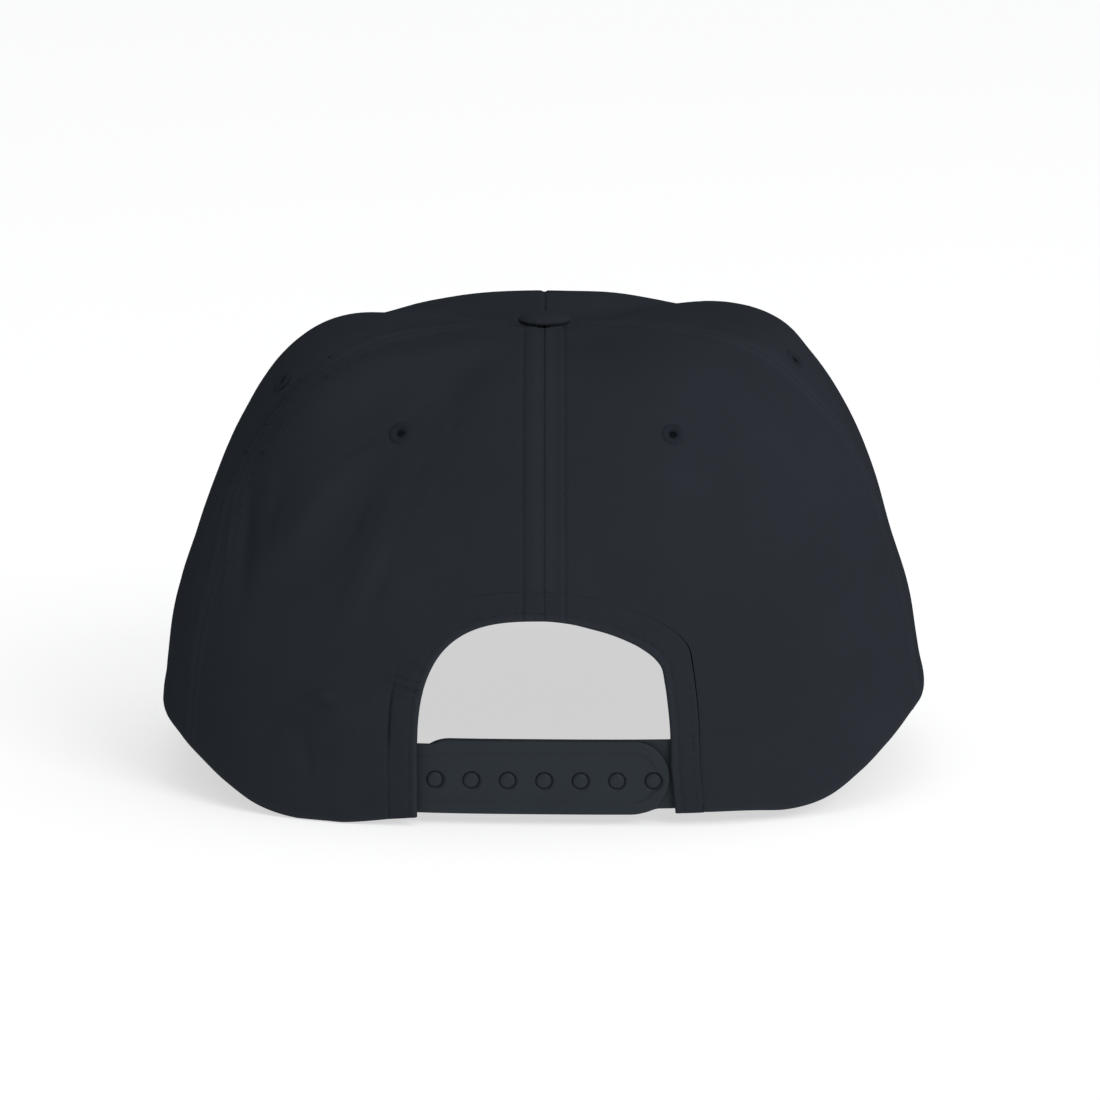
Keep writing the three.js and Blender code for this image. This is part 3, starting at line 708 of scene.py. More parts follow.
def cloth_finish(name, dark, light, worn, pitch, twill=False, roughness=(0.72, 0.88), weave=0.28):
    """Woven cloth with yarn relief, uneven dye and paler worn edges."""
    finish = Finish(name)
    place = finish.node("ShaderNodeTexCoord").outputs["Object"]
    height = woven_height(finish, pitch, twill)
    broad = finish.noise(place, 26, 4, 0.55)
    fine = finish.noise(place, 900, 2, 0.6)
    dye = finish.spread(broad, -0.25, 0.85)
    tone = finish.math("ADD", finish.math("MULTIPLY", height, 0.2), dye)
    base = finish.blend(finish.math("MULTIPLY", tone, 0.8), dark, light)
    rubbed = finish.node("ShaderNodeAttribute", attribute_name="wear").outputs["Fac"]
    patchy = finish.math("MULTIPLY", rubbed, finish.spread(finish.noise(place, 260, 3, 0.6), 0.1, 0.9))
    finish.set(Base_Color=finish.blend(patchy, base, worn))
    finish.set(Roughness=finish.spread(fine, *roughness))
    bumpy = finish.bump(height, pitch * 0.2, weave)
    bumpy = finish.bump(fine, 0.04 * MM, 0.25, bumpy)
    finish.set(Normal=bumpy, Specular_IOR_Level=0.0)
    return finish.material


def thread_finish():
    """Twisted sewing thread, a little glossier than the cloth."""
    finish = Finish("thread")
    place = finish.node("ShaderNodeTexCoord").outputs["Object"]
    twist = finish.noise(place, 2600, 2, 0.5)
    finish.set(Base_Color=finish.blend(twist, colour(30, 33, 38), colour(42, 46, 53)))
    finish.set(Roughness=finish.spread(twist, 0.45, 0.65))
    finish.set(Normal=finish.bump(twist, 0.08 * MM, 0.5), Specular_IOR_Level=0.0)
    return finish.material


def plastic_finish():
    """Satin moulded plastic with fine grain and faint handling marks."""
    finish = Finish("strap_plastic")
    place = finish.node("ShaderNodeTexCoord").outputs["Object"]
    grain = finish.noise(place, 1500, 3, 0.6)
    smudge = finish.noise(place, 60, 4, 0.6)
    worn = finish.spread(smudge, 0.1, 0.9)
    finish.set(Base_Color=finish.blend(worn, colour(37, 42, 47), colour(43, 49, 55)))
    finish.set(Roughness=finish.spread(smudge, 0.4, 0.52), Specular_IOR_Level=0.1)
    finish.set(Normal=finish.bump(grain, 0.02 * MM, 0.3))
    return finish.material


def floor_finish():
    """Pale floor that glows a little, as a lit sweep of paper does."""
    finish = Finish("pale_floor")
    finish.set(Base_Color=(FLOOR_TONE, FLOOR_TONE, FLOOR_TONE, 1.0), Roughness=0.9, Specular_IOR_Level=0.0)
    finish.shader.inputs["Emission Color"].default_value = (1.0, 1.0, 1.0, 1.0)
    finish.shader.inputs["Emission Strength"].default_value = FLOOR_GLOW
    return finish.material


# Stitches: one tree lays them along lines


def stitch_tree():
    """Geometry nodes that lay arched stitches along lines, square to the cloth by the lines' face_out."""
    tree = bpy.data.node_groups.new("sewn_row", "GeometryNodeTree")
    sockets = tree.interface
    sockets.new_socket("Lines", in_out="INPUT", socket_type="NodeSocketGeometry")
    for name in ("Length", "Pitch", "Thread", "Arch", "Sink", "Turn", "Slant"):
        sockets.new_socket(name, in_out="INPUT", socket_type="NodeSocketFloat")
    sockets.new_socket("Seed", in_out="INPUT", socket_type="NodeSocketInt")
    sockets.new_socket("Finish", in_out="INPUT", socket_type="NodeSocketMaterial")
    sockets.new_socket("Stitches", in_out="OUTPUT", socket_type="NodeSocketGeometry")
    given = tree.nodes.new("NodeGroupInput").outputs

    def node(kind, inputs=(), **settings):
        return add_node(tree, kind, inputs, **settings)

    def product(first, second):
        return node("ShaderNodeMath", {0: first, 1: second}, operation="MULTIPLY").outputs[0]

    def point(x, z):
        return node("ShaderNodeCombineXYZ", {"X": x, "Z": z}).outputs[0]

    line = node("GeometryNodeMeshToCurve", {"Mesh": given["Lines"]}).outputs["Curve"]
    places = node("GeometryNodeResampleCurve", {"Curve": line, "Length": given["Pitch"]}, mode="LENGTH")
    low = product(given["Sink"], -1.0)
    bow = {
        "Resolution": 6,
        "Start": point(product(given["Length"], -0.5), low),
        "Middle": point(0.0, product(given["Arch"], 2.0)),
        "End": point(product(given["Length"], 0.5), low),
    }
    bow = node("GeometryNodeCurveQuadraticBezier", bow).outputs["Curve"]
    section = {"Resolution": 6, "Radius": product(given["Thread"], 0.5)}
    section = node("GeometryNodeCurvePrimitiveCircle", section, mode="RADIUS").outputs["Curve"]
    thread = {"Curve": bow, "Profile Curve": section, "Fill Caps": True}
    thread = node("GeometryNodeCurveToMesh", thread).outputs["Mesh"]
    thread = node("GeometryNodeSetShadeSmooth", {"Geometry": thread}).outputs["Geometry"]
    tangent = node("GeometryNodeInputTangent").outputs["Tangent"]
    along = node("FunctionNodeAlignRotationToVector", {"Vector": tangent}, axis="X").outputs["Rotation"]
    out = node("GeometryNodeInputNamedAttribute", {"Name": "face_out"}, data_type="FLOAT_VECTOR")
    upright = {"Rotation": along, "Vector": out.outputs["Attribute"]}
    upright = node("FunctionNodeAlignRotationToVector", upright, axis="Z", pivot_axis="X").outputs["Rotation"]
    chance = node("FunctionNodeRandomValue", {"Seed": given["Seed"]}, data_type="FLOAT")
    chance.inputs[2].default_value = -1.0
    chance.inputs[3].default_value = 1.0
    swing = product(chance.outputs[1], given["Slant"])
    turn = node("ShaderNodeMath", {0: given["Turn"], 1: swing}, operation="ADD").outputs[0]
    turn = node("ShaderNodeCombineXYZ", {"Z": turn}).outputs[0]
    turn = node("FunctionNodeEulerToRotation", {"Euler": turn}).outputs["Rotation"]
    facing = {"Rotation": upright, "Rotate By": turn}
    facing = node("FunctionNodeRotateRotation", facing, rotation_space="LOCAL").outputs["Rotation"]
    sewn = {"Points": places.outputs["Curve"], "Instance": thread, "Rotation": facing}
    sewn = node("GeometryNodeInstanceOnPoints", sewn).outputs["Instances"]
    sewn = node("GeometryNodeRealizeInstances", {"Geometry": sewn}).outputs["Geometry"]
    sewn = node("GeometryNodeSetMaterial", {"Geometry": sewn, "Material": given["Finish"]})
    done = tree.nodes.new("NodeGroupOutput")
    tree.links.new(sewn.outputs["Geometry"], done.inputs["Stitches"])
    return tree


def sew(name, lines, finish, **sizes):
    """Mesh object of stitches along lines, each a pair of points and directions out of the cloth."""
    points = np.concatenate([line for line, _ in lines])
    outs = np.concatenate([out for _, out in lines])
    edges, start = [], 0
    for line, _ in lines:
        edges += [(number, number + 1) for number in range(start, start + len(line) - 1)]
        start += len(line)
    mesh = bpy.data.meshes.new(name + "_lines")
    mesh.from_pydata(points.tolist(), edges, [])
    face_out = mesh.attributes.new("face_out", "FLOAT_VECTOR", "POINT")
    face_out.data.foreach_set("vector", outs.astype(np.float32).ravel())
    carrier = placed(name + "_lines", mesh)
    modifier = carrier.modifiers.new("sewn_row", "NODES")
    modifier.node_group = STITCH_TREE
    settings = {
        "Length": STITCH_LENGTH,
        "Pitch": STITCH_PITCH,
        "Thread": THREAD,
        "Arch": 0.06 * MM,
        "Sink": 0.2 * MM,
        "Turn": 0.0,
        "Slant": 0.05,
        "Seed": 4,
        "Finish": finish,
        **sizes,
    }
    for item in STITCH_TREE.interface.items_tree:
        if item.in_out == "INPUT" and item.name in settings:
            modifier[item.identifier] = settings[item.name]
    bpy.context.view_layer.update()
    evaluated = carrier.evaluated_get(bpy.context.evaluated_depsgraph_get())
    sewn = bpy.data.meshes.new_from_object(evaluated)
    carrier.modifiers.remove(modifier)
    bpy.data.objects.remove(carrier)
    sewn.name = name
    return placed(name, sewn)


def crown_point(azimuth, rise, seams=True):
    """Points and outward directions of the dressed crown's face."""
    azimuth, rise = np.broadcast_arrays(np.asarray(azimuth, float), np.asarray(rise, float))
    smooth = smooth_crown(azimuth, rise)
    out = outward(azimuth, rise)
    relief = cloth_relief(azimuth, rise, smooth)
    if seams:
        relief = relief + seam_relief(azimuth, rise)
    return smooth + relief[..., None] * out, out


# Crown panels


def climb_of_rise(azimuth):
    """Rises and the way up the cloth to each of them, along one azimuth."""
    rises = np.linspace(0, 1, 400)
    line = smooth_crown(azimuth, rises)
    steps = np.linalg.norm(np.diff(line, axis=0), axis=1)
    return rises, np.concatenate([[0], np.cumsum(steps)])


def cloth_way(azimuth, rise, middle):
    """The cloth's own flat coordinates in metres, from the panel's middle line."""
    rises, climbs = climb_of_rise(middle)
    along = np.interp(rise, rises, climbs)
    across = np.radians(wrapped(azimuth - middle)) * plan_radius(azimuth, rise)
    return np.stack([across, along], -1)


RIM_RADIUS = 0.55 * MM
ROLL_HEIGHT = 0.35 * MM
ROLL_REACH = 3.5 * MM

# Where the cloth is rubbed pale: the ridges beside the seams and the rim's edge
RIDGE_PLACE = 1.6 * MM
RIDGE_BREADTH = 1 * MM
RIM_RUB_BREADTH = 1.2 * MM


def eyelet_cells(azimuth, rise):
    """Marks the grid's cells that are clear of the eyelets' holes."""
    middle = lambda grid: (grid[:-1, :-1] + grid[1:, 1:]) / 2
    points = smooth_crown(middle(azimuth), middle(rise))
    keep = np.ones(points.shape[:2], bool)
    for at, up in EYELETS.values():
        away = np.linalg.norm(points - smooth_crown(at, up), axis=-1)
        keep &= away > (EYELET_HOLE_RADIUS + EYELET_RADIUS) / 2
    return keep


def crown_wall(name, azimuth, rise, middle, from_rim, tuck=0.0):
    """Closed cloth wall over a grid of azimuths and rises. from_rim is the way up from the rim's edge, and
    tuck is how far its outer face is drawn in at the hem."""
    smooth = smooth_crown(azimuth, rise)
    out = outward(azimuth, rise)
    relief = cloth_relief(azimuth, rise, smooth) + seam_relief(azimuth, rise)
    relief = relief + ROLL_HEIGHT * hump(from_rim - ROLL_REACH / 2, ROLL_REACH)
    rounding = edge_round(from_rim, RIM_RADIUS)
    outer = smooth + (relief - tuck - rounding)[..., None] * out
    inner = smooth + (relief - CLOTH + rounding)[..., None] * out
    ridges = [np.abs(seam_distance(seam, azimuth, rise)) - RIDGE_PLACE for seam in SEAM_NAMES]
    near_seam = np.max([hump(away, RIDGE_BREADTH) for away in ridges], 0)
    wear = np.maximum(0.55 * hump(from_rim, RIM_RUB_BREADTH), 0.3 * near_seam)
    return wall(name, outer, inner, eyelet_cells(azimuth, rise), cloth_way(azimuth, rise, middle), wear)


SEAM_BAND = 9 * MM


def side_to_side_panel(name, left, right, middle, coarse):
    """Panel between two seams, from the rim to the button."""
    rises, climbs = climb_of_rise(middle)
    way_up = graded(climbs[-1], [(0, 0.16 * MM)], coarse)
    rise = np.interp(way_up, climbs, rises)
    start, end = left(rise), right(rise)
    radius = plan_radius((start + end) / 2, rise)
    breadth = np.maximum(np.radians(end - start) * radius, 1e-6)
    reference = breadth.max()
    spots = [(0, 0.2 * MM), (SEAM_ALLOWANCE, 0.35 * MM)]
    spots += [(reference - place, fine) for place, fine in spots]
    places = graded(reference, spots, coarse)
    fit = np.minimum(1, breadth / (3 * SEAM_BAND))[None, :]
    inside = (breadth[None, :] - 2 * SEAM_BAND * fit) / (reference - 2 * SEAM_BAND)
    at = places[:, None]
    way = np.where(at < SEAM_BAND, at * fit, SEAM_BAND * fit + (at - SEAM_BAND) * inside)
    way = np.where(at > reference - SEAM_BAND, breadth[None, :] - (reference - at) * fit, way)
    share = way / breadth[None, :]
    azimuth = mix(start[None, :], end[None, :], share)
    rise = np.broadcast_to(rise[None, :], azimuth.shape)
    from_rim = np.broadcast_to(way_up[None, :], azimuth.shape)
    return crown_wall(name, azimuth, rise, middle, from_rim)


def flat_map(azimuth, rise):
    """Place on a flat map of the crown, with the button at its middle."""
    angle = np.radians(azimuth)
    return np.stack([(1 - rise) * np.sin(angle), -(1 - rise) * np.cos(angle)], -1)


def from_flat_map(places):
    azimuth = np.degrees(np.arctan2(places[..., 0], -places[..., 1]))
    return azimuth, np.clip(1 - np.linalg.norm(places, axis=-1), 0, 1)


ARCH_STEPS = 1201
TAB_STEPS = 59


def opening_outline(margin, way):
    """Flat-map places along the back opening's line, larger by a margin, from the left tab's rim at way 0
    over the arch to the right tab's rim at 1."""
    half_width = OPENING_WIDTH / 2 + margin
    arch_height = OPENING_TOP + margin - OPENING_SHOULDER
    rim = lambda side: rim_height(math.degrees(math.atan2(side * half_width, BACK_REACH)))
    turns = np.linspace(0, math.pi, ARCH_STEPS)
    power = 2 / OPENING_ARCH_POWER
    cosine = np.cos(turns)
    from_right = 180 - np.degrees(turns)
    stretch = 1 + np.where(cosine < 0, between(ARCH_FORM, "turn", from_right, "stretch"), 0)
    arch_x = -half_width * np.sign(cosine) * np.abs(cosine) ** power * stretch
    arch_z = OPENING_SHOULDER + arch_height * np.sin(turns) ** power * stretch
    tab = np.linspace(0, 1, TAB_STEPS, endpoint=False)
    left = mix(rim(-1), OPENING_SHOULDER, tab)
    right = mix(OPENING_SHOULDER, rim(1), 1 - tab[::-1])
    splay = OPENING_SPLAY * (1 - right / OPENING_SHOULDER)
    x = np.concatenate([np.full(TAB_STEPS, -half_width), arch_x, half_width + splay])
    z = np.concatenate([left, arch_z, right])
    steps = np.hypot(np.diff(x), np.diff(z))
    run = np.concatenate([[0], np.cumsum(steps)])
    x = np.interp(way * run[-1], run, x)
    z = np.interp(way * run[-1], run, z)
    return crown_under(x, z)


SEARCH_ROUNDS = 24
SEARCH_STEP = 0.8
SEARCH_NUDGE = 1e-4


def crown_under(x, z):
    """Flat-map places of the crown's back at given distances across and heights."""
    places = flat_map(np.degrees(np.arctan2(x, BACK_REACH)), np.clip(z / CROWN_HEIGHT, 0, 0.9))
    for _ in range(SEARCH_ROUNDS):
        def miss(at):
            angle = np.degrees(np.arctan2(at[..., 0], -at[..., 1]))
            found = smooth_crown(angle, np.clip(1 - np.linalg.norm(at, axis=-1), 0, 1))
            return np.stack([found[..., 0] - x, found[..., 2] - z], -1)
        here = miss(places)
        slope_x = (miss(places + [SEARCH_NUDGE, 0]) - here) / SEARCH_NUDGE
        slope_y = (miss(places + [0, -SEARCH_NUDGE]) - here) / -SEARCH_NUDGE
        area = slope_x[..., 0] * slope_y[..., 1] - slope_x[..., 1] * slope_y[..., 0]
        step_x = (here[..., 0] * slope_y[..., 1] - here[..., 1] * slope_y[..., 0]) / area
        step_y = (slope_x[..., 0] * here[..., 1] - slope_x[..., 1] * here[..., 0]) / area
        places = places - SEARCH_STEP * np.stack([step_x, step_y], -1)
        length = np.maximum(np.linalg.norm(places, axis=-1, keepdims=True), 1e-9)
        places = places * np.minimum(1, 1 / length)
    return places


def evenly(line, shares):
    """Places along a line of flat-map places, at shares of its real length."""
    run = smooth_crown(*from_flat_map(line))
    steps = np.linalg.norm(np.diff(run, axis=0), axis=1)
    at = np.concatenate([[0], np.cumsum(steps)])
    return np.stack([np.interp(shares * at[-1], at, line[:, axis]) for axis in (0, 1)], -1), at[-1]


# A back panel's grid: its points along each side, where it is finest across the folds by the hem, in
# shares of its way down, and how fast the cloth rises again from the groove beside the hem
SIDE_POINTS = 500
WRINKLE_SHARE = 0.745
GROOVE_BREADTH = 0.8 * MM
TOP_RISE = 0.9999


def back_panel(name, side, seam, middle):
    """Panel between the centre back seam, the button, a side seam, the rim and the opening's arch."""
    fine = np.linspace(0, 1, SIDE_POINTS)
    arch = opening_outline(HEM_WIDTH, 0.5 + side * fine / 2)
    arch_top, tab_end = from_flat_map(arch[0]), from_flat_map(arch[-1])
    rises = mix(arch_top[1], 1, fine)
    centre = flat_map(np.zeros(SIDE_POINTS), rises)
    side_rise = 1 - fine
    side_line = flat_map(between(SEAMS, "rise", side_rise, seam), side_rise)
    foot = float(between(SEAMS, "rise", 0, seam))
    rim = flat_map(mix(tab_end[0], foot, fine), np.zeros(SIDE_POINTS))
    lengths = [evenly(line, fine)[1] for line in (arch, side_line, centre, rim)]
    long_way = (lengths[0] + lengths[1]) / 2
    broad_way = (lengths[2] + lengths[3]) / 2
    down_spots = [(0, 0.2 * MM), (SEAM_ALLOWANCE, 0.4 * MM), (WRINKLE_SHARE * long_way, 0.3 * MM)]
    down = graded(long_way, down_spots + [(long_way, 0.12 * MM)], 0.75 * MM, 0.06)
    down = down / long_way
    over_spots = [(0, 0.04 * MM), (broad_way, 0.2 * MM), (broad_way - SEAM_ALLOWANCE, 0.4 * MM)]
    over = graded(broad_way, over_spots, 0.95 * MM) / broad_way
    arch_line, side_line = evenly(arch, down)[0][None], evenly(side_line, down)[0][None]
    centre_line, rim_line = evenly(centre, over)[0][:, None], evenly(rim, over)[0][:, None]
    s, t = over[:, None, None], down[None, :, None]
    corners = mix(mix(arch_line[:, :1], arch_line[:, -1:], t), mix(side_line[:, :1], side_line[:, -1:], t), s)
    grid = mix(arch_line, side_line, s) + mix(centre_line, rim_line, t) - corners
    azimuth, rise = from_flat_map(grid)
    azimuth = np.where(rise > TOP_RISE, middle, azimuth)
    azimuth[:, 0] = 0
    from_rim = np.broadcast_to((1 - down)[None, :] * long_way, azimuth.shape)
    from_hem = np.broadcast_to(over[:, None] * broad_way, azimuth.shape)
    groove = between(GROOVE, "way", 0.5 + side * down / 2, "depth")[None, :]
    tuck = GROOVE_DEPTH * groove * np.exp(-from_hem / GROOVE_BREADTH)
    return crown_wall(name, azimuth, rise, middle, from_rim, tuck)


def crown_panels(finish):
    """The five panels of the crown."""
    line = lambda name, turn=0: lambda rise: between(SEAMS, "rise", rise, name) + turn
    wrapped_panels = (
        ("front_panel", line("front_right"), line("front_left", 360), 180, 1.35 * MM),
        ("side_panel_left", line("front_left"), line("back_left"), -90, 0.75 * MM),
        ("side_panel_right", line("back_right"), line("front_right"), 95, 1.05 * MM),
    )
    for node, left, right, middle, coarse in wrapped_panels:
        piece = side_to_side_panel(node + "_cloth", left, right, middle, coarse)
        dress(piece, finish, "cap_cloth", node)
    for side_name, side, middle in (("left", -1, -32), ("right", 1, 35)):
        node = "back_panel_" + side_name
        piece = back_panel(node + "_cloth", side, "back_" + side_name, middle)
        dress(piece, finish, "cap_cloth", node)


# Hem round the opening

HEM_ROW_INSETS = (1.9 * MM, 5.6 * MM)
HEM_ROW_DEPTH = 0.14 * MM
TAB_ROW_DEPTH = 0.04 * MM
HEM_ROW_BREADTH = 0.45 * MM
HEM_FLUSH = 0.05 * MM
HEM_SWELL = 0.1 * MM
HEM_FALL = 1.15 * GROOVE_DEPTH
HEM_FALL_BREADTH = 0.45 * MM
HEM_PUCKER = 0.035 * MM
HEM_PUCKER_REACH = 1.6 * MM
HEM_STEPS = 560
HEM_LIP_DEPTH = 0.12 * MM
HEM_LIP_BACK = 0.5 * MM
HEM_WEAVE_RUN = 190 * MM


def hem_offset(way, margin):
    """How far the hem's outer face stands out of the smooth crown."""
    groove = between(GROOVE, "way", way, "depth")
    proud = mix(HEM_FLUSH, HEM_PROUD + HEM_SWELL, np.clip(groove, 0, 1))
    fall = HEM_FALL * groove * np.exp(-(HEM_WIDTH - margin) / HEM_FALL_BREADTH)
    first, second = HEM_ROW_INSETS
    rows = HEM_ROW_DEPTH * hump(margin - first, HEM_ROW_BREADTH)
    rows = rows + TAB_ROW_DEPTH * groove * hump(margin - second, HEM_ROW_BREADTH)
    ripple = np.sin(way * 190) + 0.7 * np.sin(way * 331 + 1)
    pucker = HEM_PUCKER * ripple * hump(margin - first, HEM_PUCKER_REACH)
    return proud - fall - rows + pucker


def opening_hem(finish):
    """Turned hem over the cut edge of the back, from tab to tab."""
    way = np.linspace(0, 1, HEM_STEPS)
    spots = [(0, 0.08 * MM), (HEM_ROW_INSETS[0], 0.2 * MM), (HEM_WIDTH, 0.04 * MM)]
    lip_margins = HEM_WIDTH + HEM_LIP * np.array([0.02, 0.5, 1])
    margins = np.append(graded(HEM_WIDTH, spots, 0.5 * MM), lip_margins)
    grid = np.stack([opening_outline(margin, way) for margin in margins])
    azimuth, rise = from_flat_map(grid)
    smooth = smooth_crown(azimuth, rise)
    out = outward(azimuth, rise)
    margin = np.broadcast_to(margins[:, None], azimuth.shape)
    along = np.broadcast_to(way[None, :], azimuth.shape)
    relief = cloth_relief(azimuth, rise, smooth)
    centre = seam_relief(azimuth, rise)
    rounding = edge_round(margin, HEM_EDGE_RADIUS)
    lip = margin > HEM_WIDTH
    face = np.where(lip, -CLOTH - HEM_LIP_DEPTH, hem_offset(along, margin) - rounding)
    back = np.where(lip, -CLOTH - HEM_LIP_BACK, HEM_PROUD - HEM_THICKNESS + rounding)
    outer = smooth + (relief + centre + face)[..., None] * out
    inner = smooth + (relief + back)[..., None] * out
    run = along * HEM_WEAVE_RUN
    wear = 0.55 * hump(margin, 1.1 * MM)
    piece = wall("opening_hem_cloth", outer, inner, None, np.stack([margin, run], -1), wear)
    return dress(piece, finish, "cap_cloth", "opening_hem")


# Button and eyelets


BUTTON_SIDES = 144
BUTTON_RINGS = 46
BUTTON_GATHERS = 15
BUTTON_RISE = 2.1
GATHER_SHARE = 0.022
GATHER_LIFT = 0.1
SHANK_SIDES = 32
SHANK_SHARP_ANGLE = 40

# Face of the button from its top to its middle underneath, in shares of BUTTON_RADIUS and BUTTON_RISE
BUTTON_DOME = table(
    "radius height",
    (0.00, 1.00),
    (0.12, 0.995),
    (0.25, 0.975),
    (0.40, 0.935),
    (0.55, 0.87),
    (0.68, 0.78),
    (0.80, 0.65),
    (0.89, 0.50),
    (0.96, 0.32),
    (1.00, 0.10),
    (0.99, -0.12),
    (0.94, -0.30),
    (0.80, -0.38),
    (0.40, -0.42),
    (0.00, -0.42),
)

# Shank through the crown with its small head inside, in millimetres up from the head's foot
BUTTON_SHANK = table(
    "radius height",
    (0.0, 0.0),
    (3.2, 0.0),
    (3.4, 0.2),
    (3.4, 1.0),
    (3.2, 1.2),
    (1.6, 1.2),
    (1.6, 5.5),
    (0.0, 5.5),
)


def button(finish):
    """Cloth-covered button: a low dome whose cloth is gathered under its edge."""
    low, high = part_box("button")
    top = high.z
    last = len(BUTTON_DOME["radius"]) - 1
    steps = np.linspace(0, last, BUTTON_RINGS)
    numbers = {"step": np.arange(last + 1), **BUTTON_DOME}
    radius = between(numbers, "step", steps, "radius")[:, None]
    height = between(numbers, "step", steps, "height")[:, None]
    angle = np.linspace(0, math.tau, BUTTON_SIDES, endpoint=False)[None, :]
    folded = step_up(radius, 0.72, 1.0) * (0.6 + 0.4 * np.sin(3 * angle + 0.6))
    gather = folded * (np.abs(np.sin(BUTTON_GATHERS * angle / 2)) - 0.6)
    spread = BUTTON_RADIUS * (radius + GATHER_SHARE * gather)
    lift = top - BUTTON_RISE * MM + (BUTTON_RISE * height + GATHER_LIFT * gather) * MM
    x, y = spread * np.cos(angle), CROWN_SHIFT + spread * np.sin(angle)
    points = np.stack(np.broadcast_arrays(x, y, lift), -1)
    faces = np.roll(ring_faces(BUTTON_RINGS, BUTTON_SIDES)[:, ::-1], 1, 1)
    flat = points.reshape(-1, 3)
    uv = flat[:, :2] + np.array([0.0, 1.0]) * (flat[:, 2:] - top)
    wear = np.broadcast_to(0.5 * step_up(radius, 0.8, 1.0), points.shape[:2]).ravel()
    piece = finished_mesh("button_cloth", flat, faces, uv, wear)
    piece = joined("button_cloth", piece, button_shank(low.z))
    return dress(piece, finish, "cap_cloth", "button")


def button_shank(bottom):
    """Shank through the crown and its small head inside, turned about the button's axis."""
    angle = np.linspace(0, math.tau, SHANK_SIDES, endpoint=False)
    rings = []
    for radius, height in zip(*BUTTON_SHANK.values()):
        reach, level = radius * MM, np.full(SHANK_SIDES, bottom + height * MM)
        rings.append(np.stack([reach * np.cos(angle), CROWN_SHIFT + reach * np.sin(angle), level], -1))
    points = np.concatenate(rings)
    faces = ring_faces(len(rings), SHANK_SIDES)
    wear = np.zeros(len(points))
    return finished_mesh("button_shank", points, faces, points[:, :2], wear, SHANK_SHARP_ANGLE)


def joined(name, *pieces):
    """One mesh object from several."""
    body = bmesh.new()
    for piece in pieces:
        body.from_mesh(piece.data)
        bpy.data.objects.remove(piece)
    mesh = bpy.data.meshes.new(name)
    body.to_mesh(mesh)
    body.free()
    return placed(name, mesh)


def ring_round(centre, out, radius, count):
    """Circle of points round a place, square to a direction."""
    square = Vector(out).to_track_quat("Z", "Y").to_matrix()
    angles = np.linspace(0, math.tau, count)
    flat = np.stack([radius * np.cos(angles), radius * np.sin(angles), np.zeros(count)], -1)
    return centre + flat @ np.array(square).T


EYELET_LINE_POINTS = 73
EYELET_LINE_DEPTH = 0.12 * MM
EYELET_STITCHES = {
    "Length": EYELET_RADIUS - EYELET_THREAD_REACH + 0.1 * MM,
    "Pitch": 0.27 * MM,
    "Thread": 0.32 * MM,
    "Arch": 0.24 * MM,
    "Sink": 0.42 * MM,
    "Turn": math.pi / 2,
    "Slant": 0.06,
}
EYELET_RING_SIDES = 48

# Section of the ring under an eyelet's thread, in millimetres from its axis and out of the cloth's face
EYELET_SECTION = table(
    "radius height",
    (1.00, -0.35),
    (1.20, 0.00),
    (2.00, 0.20),
    (2.70, 0.10),
    (3.05, -0.25),
    (3.10, -1.35),
    (2.30, -1.50),
    (1.00, -1.40),
)


def eyelets(thread):
    """Eyelets worked over with radial thread, each on a firm ring that lines its hole."""
    for name, (azimuth, rise) in EYELETS.items():
        centre, out = crown_point(azimuth, rise, seams=False)
        middle = (EYELET_THREAD_REACH + EYELET_RADIUS) / 2
        line = ring_round(centre - EYELET_LINE_DEPTH * out, out, middle, EYELET_LINE_POINTS)
        outs = np.tile(out, (EYELET_LINE_POINTS, 1))
        sewn = sew(name + "_sewn", [(line, outs)], thread, **EYELET_STITCHES)
        piece = joined(name + "_sewn", eyelet_ring(name, centre, out), sewn)
        piece.data.shade_smooth()
        dress(piece, thread, "stitching", name)


def eyelet_ring(name, centre, out):
    """Plain ring under an eyelet's thread, through both faces of the cloth."""
    rings = [
        ring_round(centre + height * MM * out, out, radius * MM, EYELET_RING_SIDES + 1)[:-1]
        for radius, height in zip(*EYELET_SECTION.values())
    ]
    points = np.concatenate(rings)
    number = np.arange(len(points)).reshape(len(rings), EYELET_RING_SIDES)
    right, up = np.roll(number, -1, 1), np.roll(number, -1, 0)
    faces = np.stack([number, up, np.roll(up, -1, 1), right], -1).reshape(-1, 4)
    return finished_mesh(name + "_ring", points, faces)


# Snap strap

STRAP_EDGE_RADIUS = 0.4 * MM
STRAP_END_POINTS = 39
STRAP_INSETS = (0, 0.05, 0.15, 0.3, 0.5, 0.9, 1.6, 2.4, 2.7, 2.85, 3.0, 3.15, 3.5, 4.3, 5.3, 6.4, 7.5)
BORDER_START = STRAP_BORDER - 0.2 * MM
BORDER_END = STRAP_BORDER + 0.25 * MM
CUTTER_DEEP = 2 * MM
CUTTER_PROUD = 0.6 * MM
CUTTER_SIDES = 48
PEG_SIDES = 40

# Rounded edge of a snap's hole, in millimetres beyond SNAP_HOLE_RADIUS and under the strap's field
SNAP_HOLE_EDGE = table(
    "beyond sunk",
    (0.00, 0.50),
    (0.14, 0.30),
    (0.32, 0.11),
    (0.58, 0.00),
)

# Section of a peg, in millimetres from its axis and out of the outer strap's face
SNAP_PEG = table(
    "radius height",
    (0.00, -2.30),
    (1.35, -2.30),
    (1.35, -1.10),
    (SNAP_PEG_RADIUS / MM, -0.90),
    (SNAP_PEG_RADIUS / MM, -0.70),
    (1.86, -0.52),
    (1.68, -0.34),
    (1.42, -0.19),
    (1.15, -0.12),
    (0.60, -0.09),
    (0.00, -0.08),
)


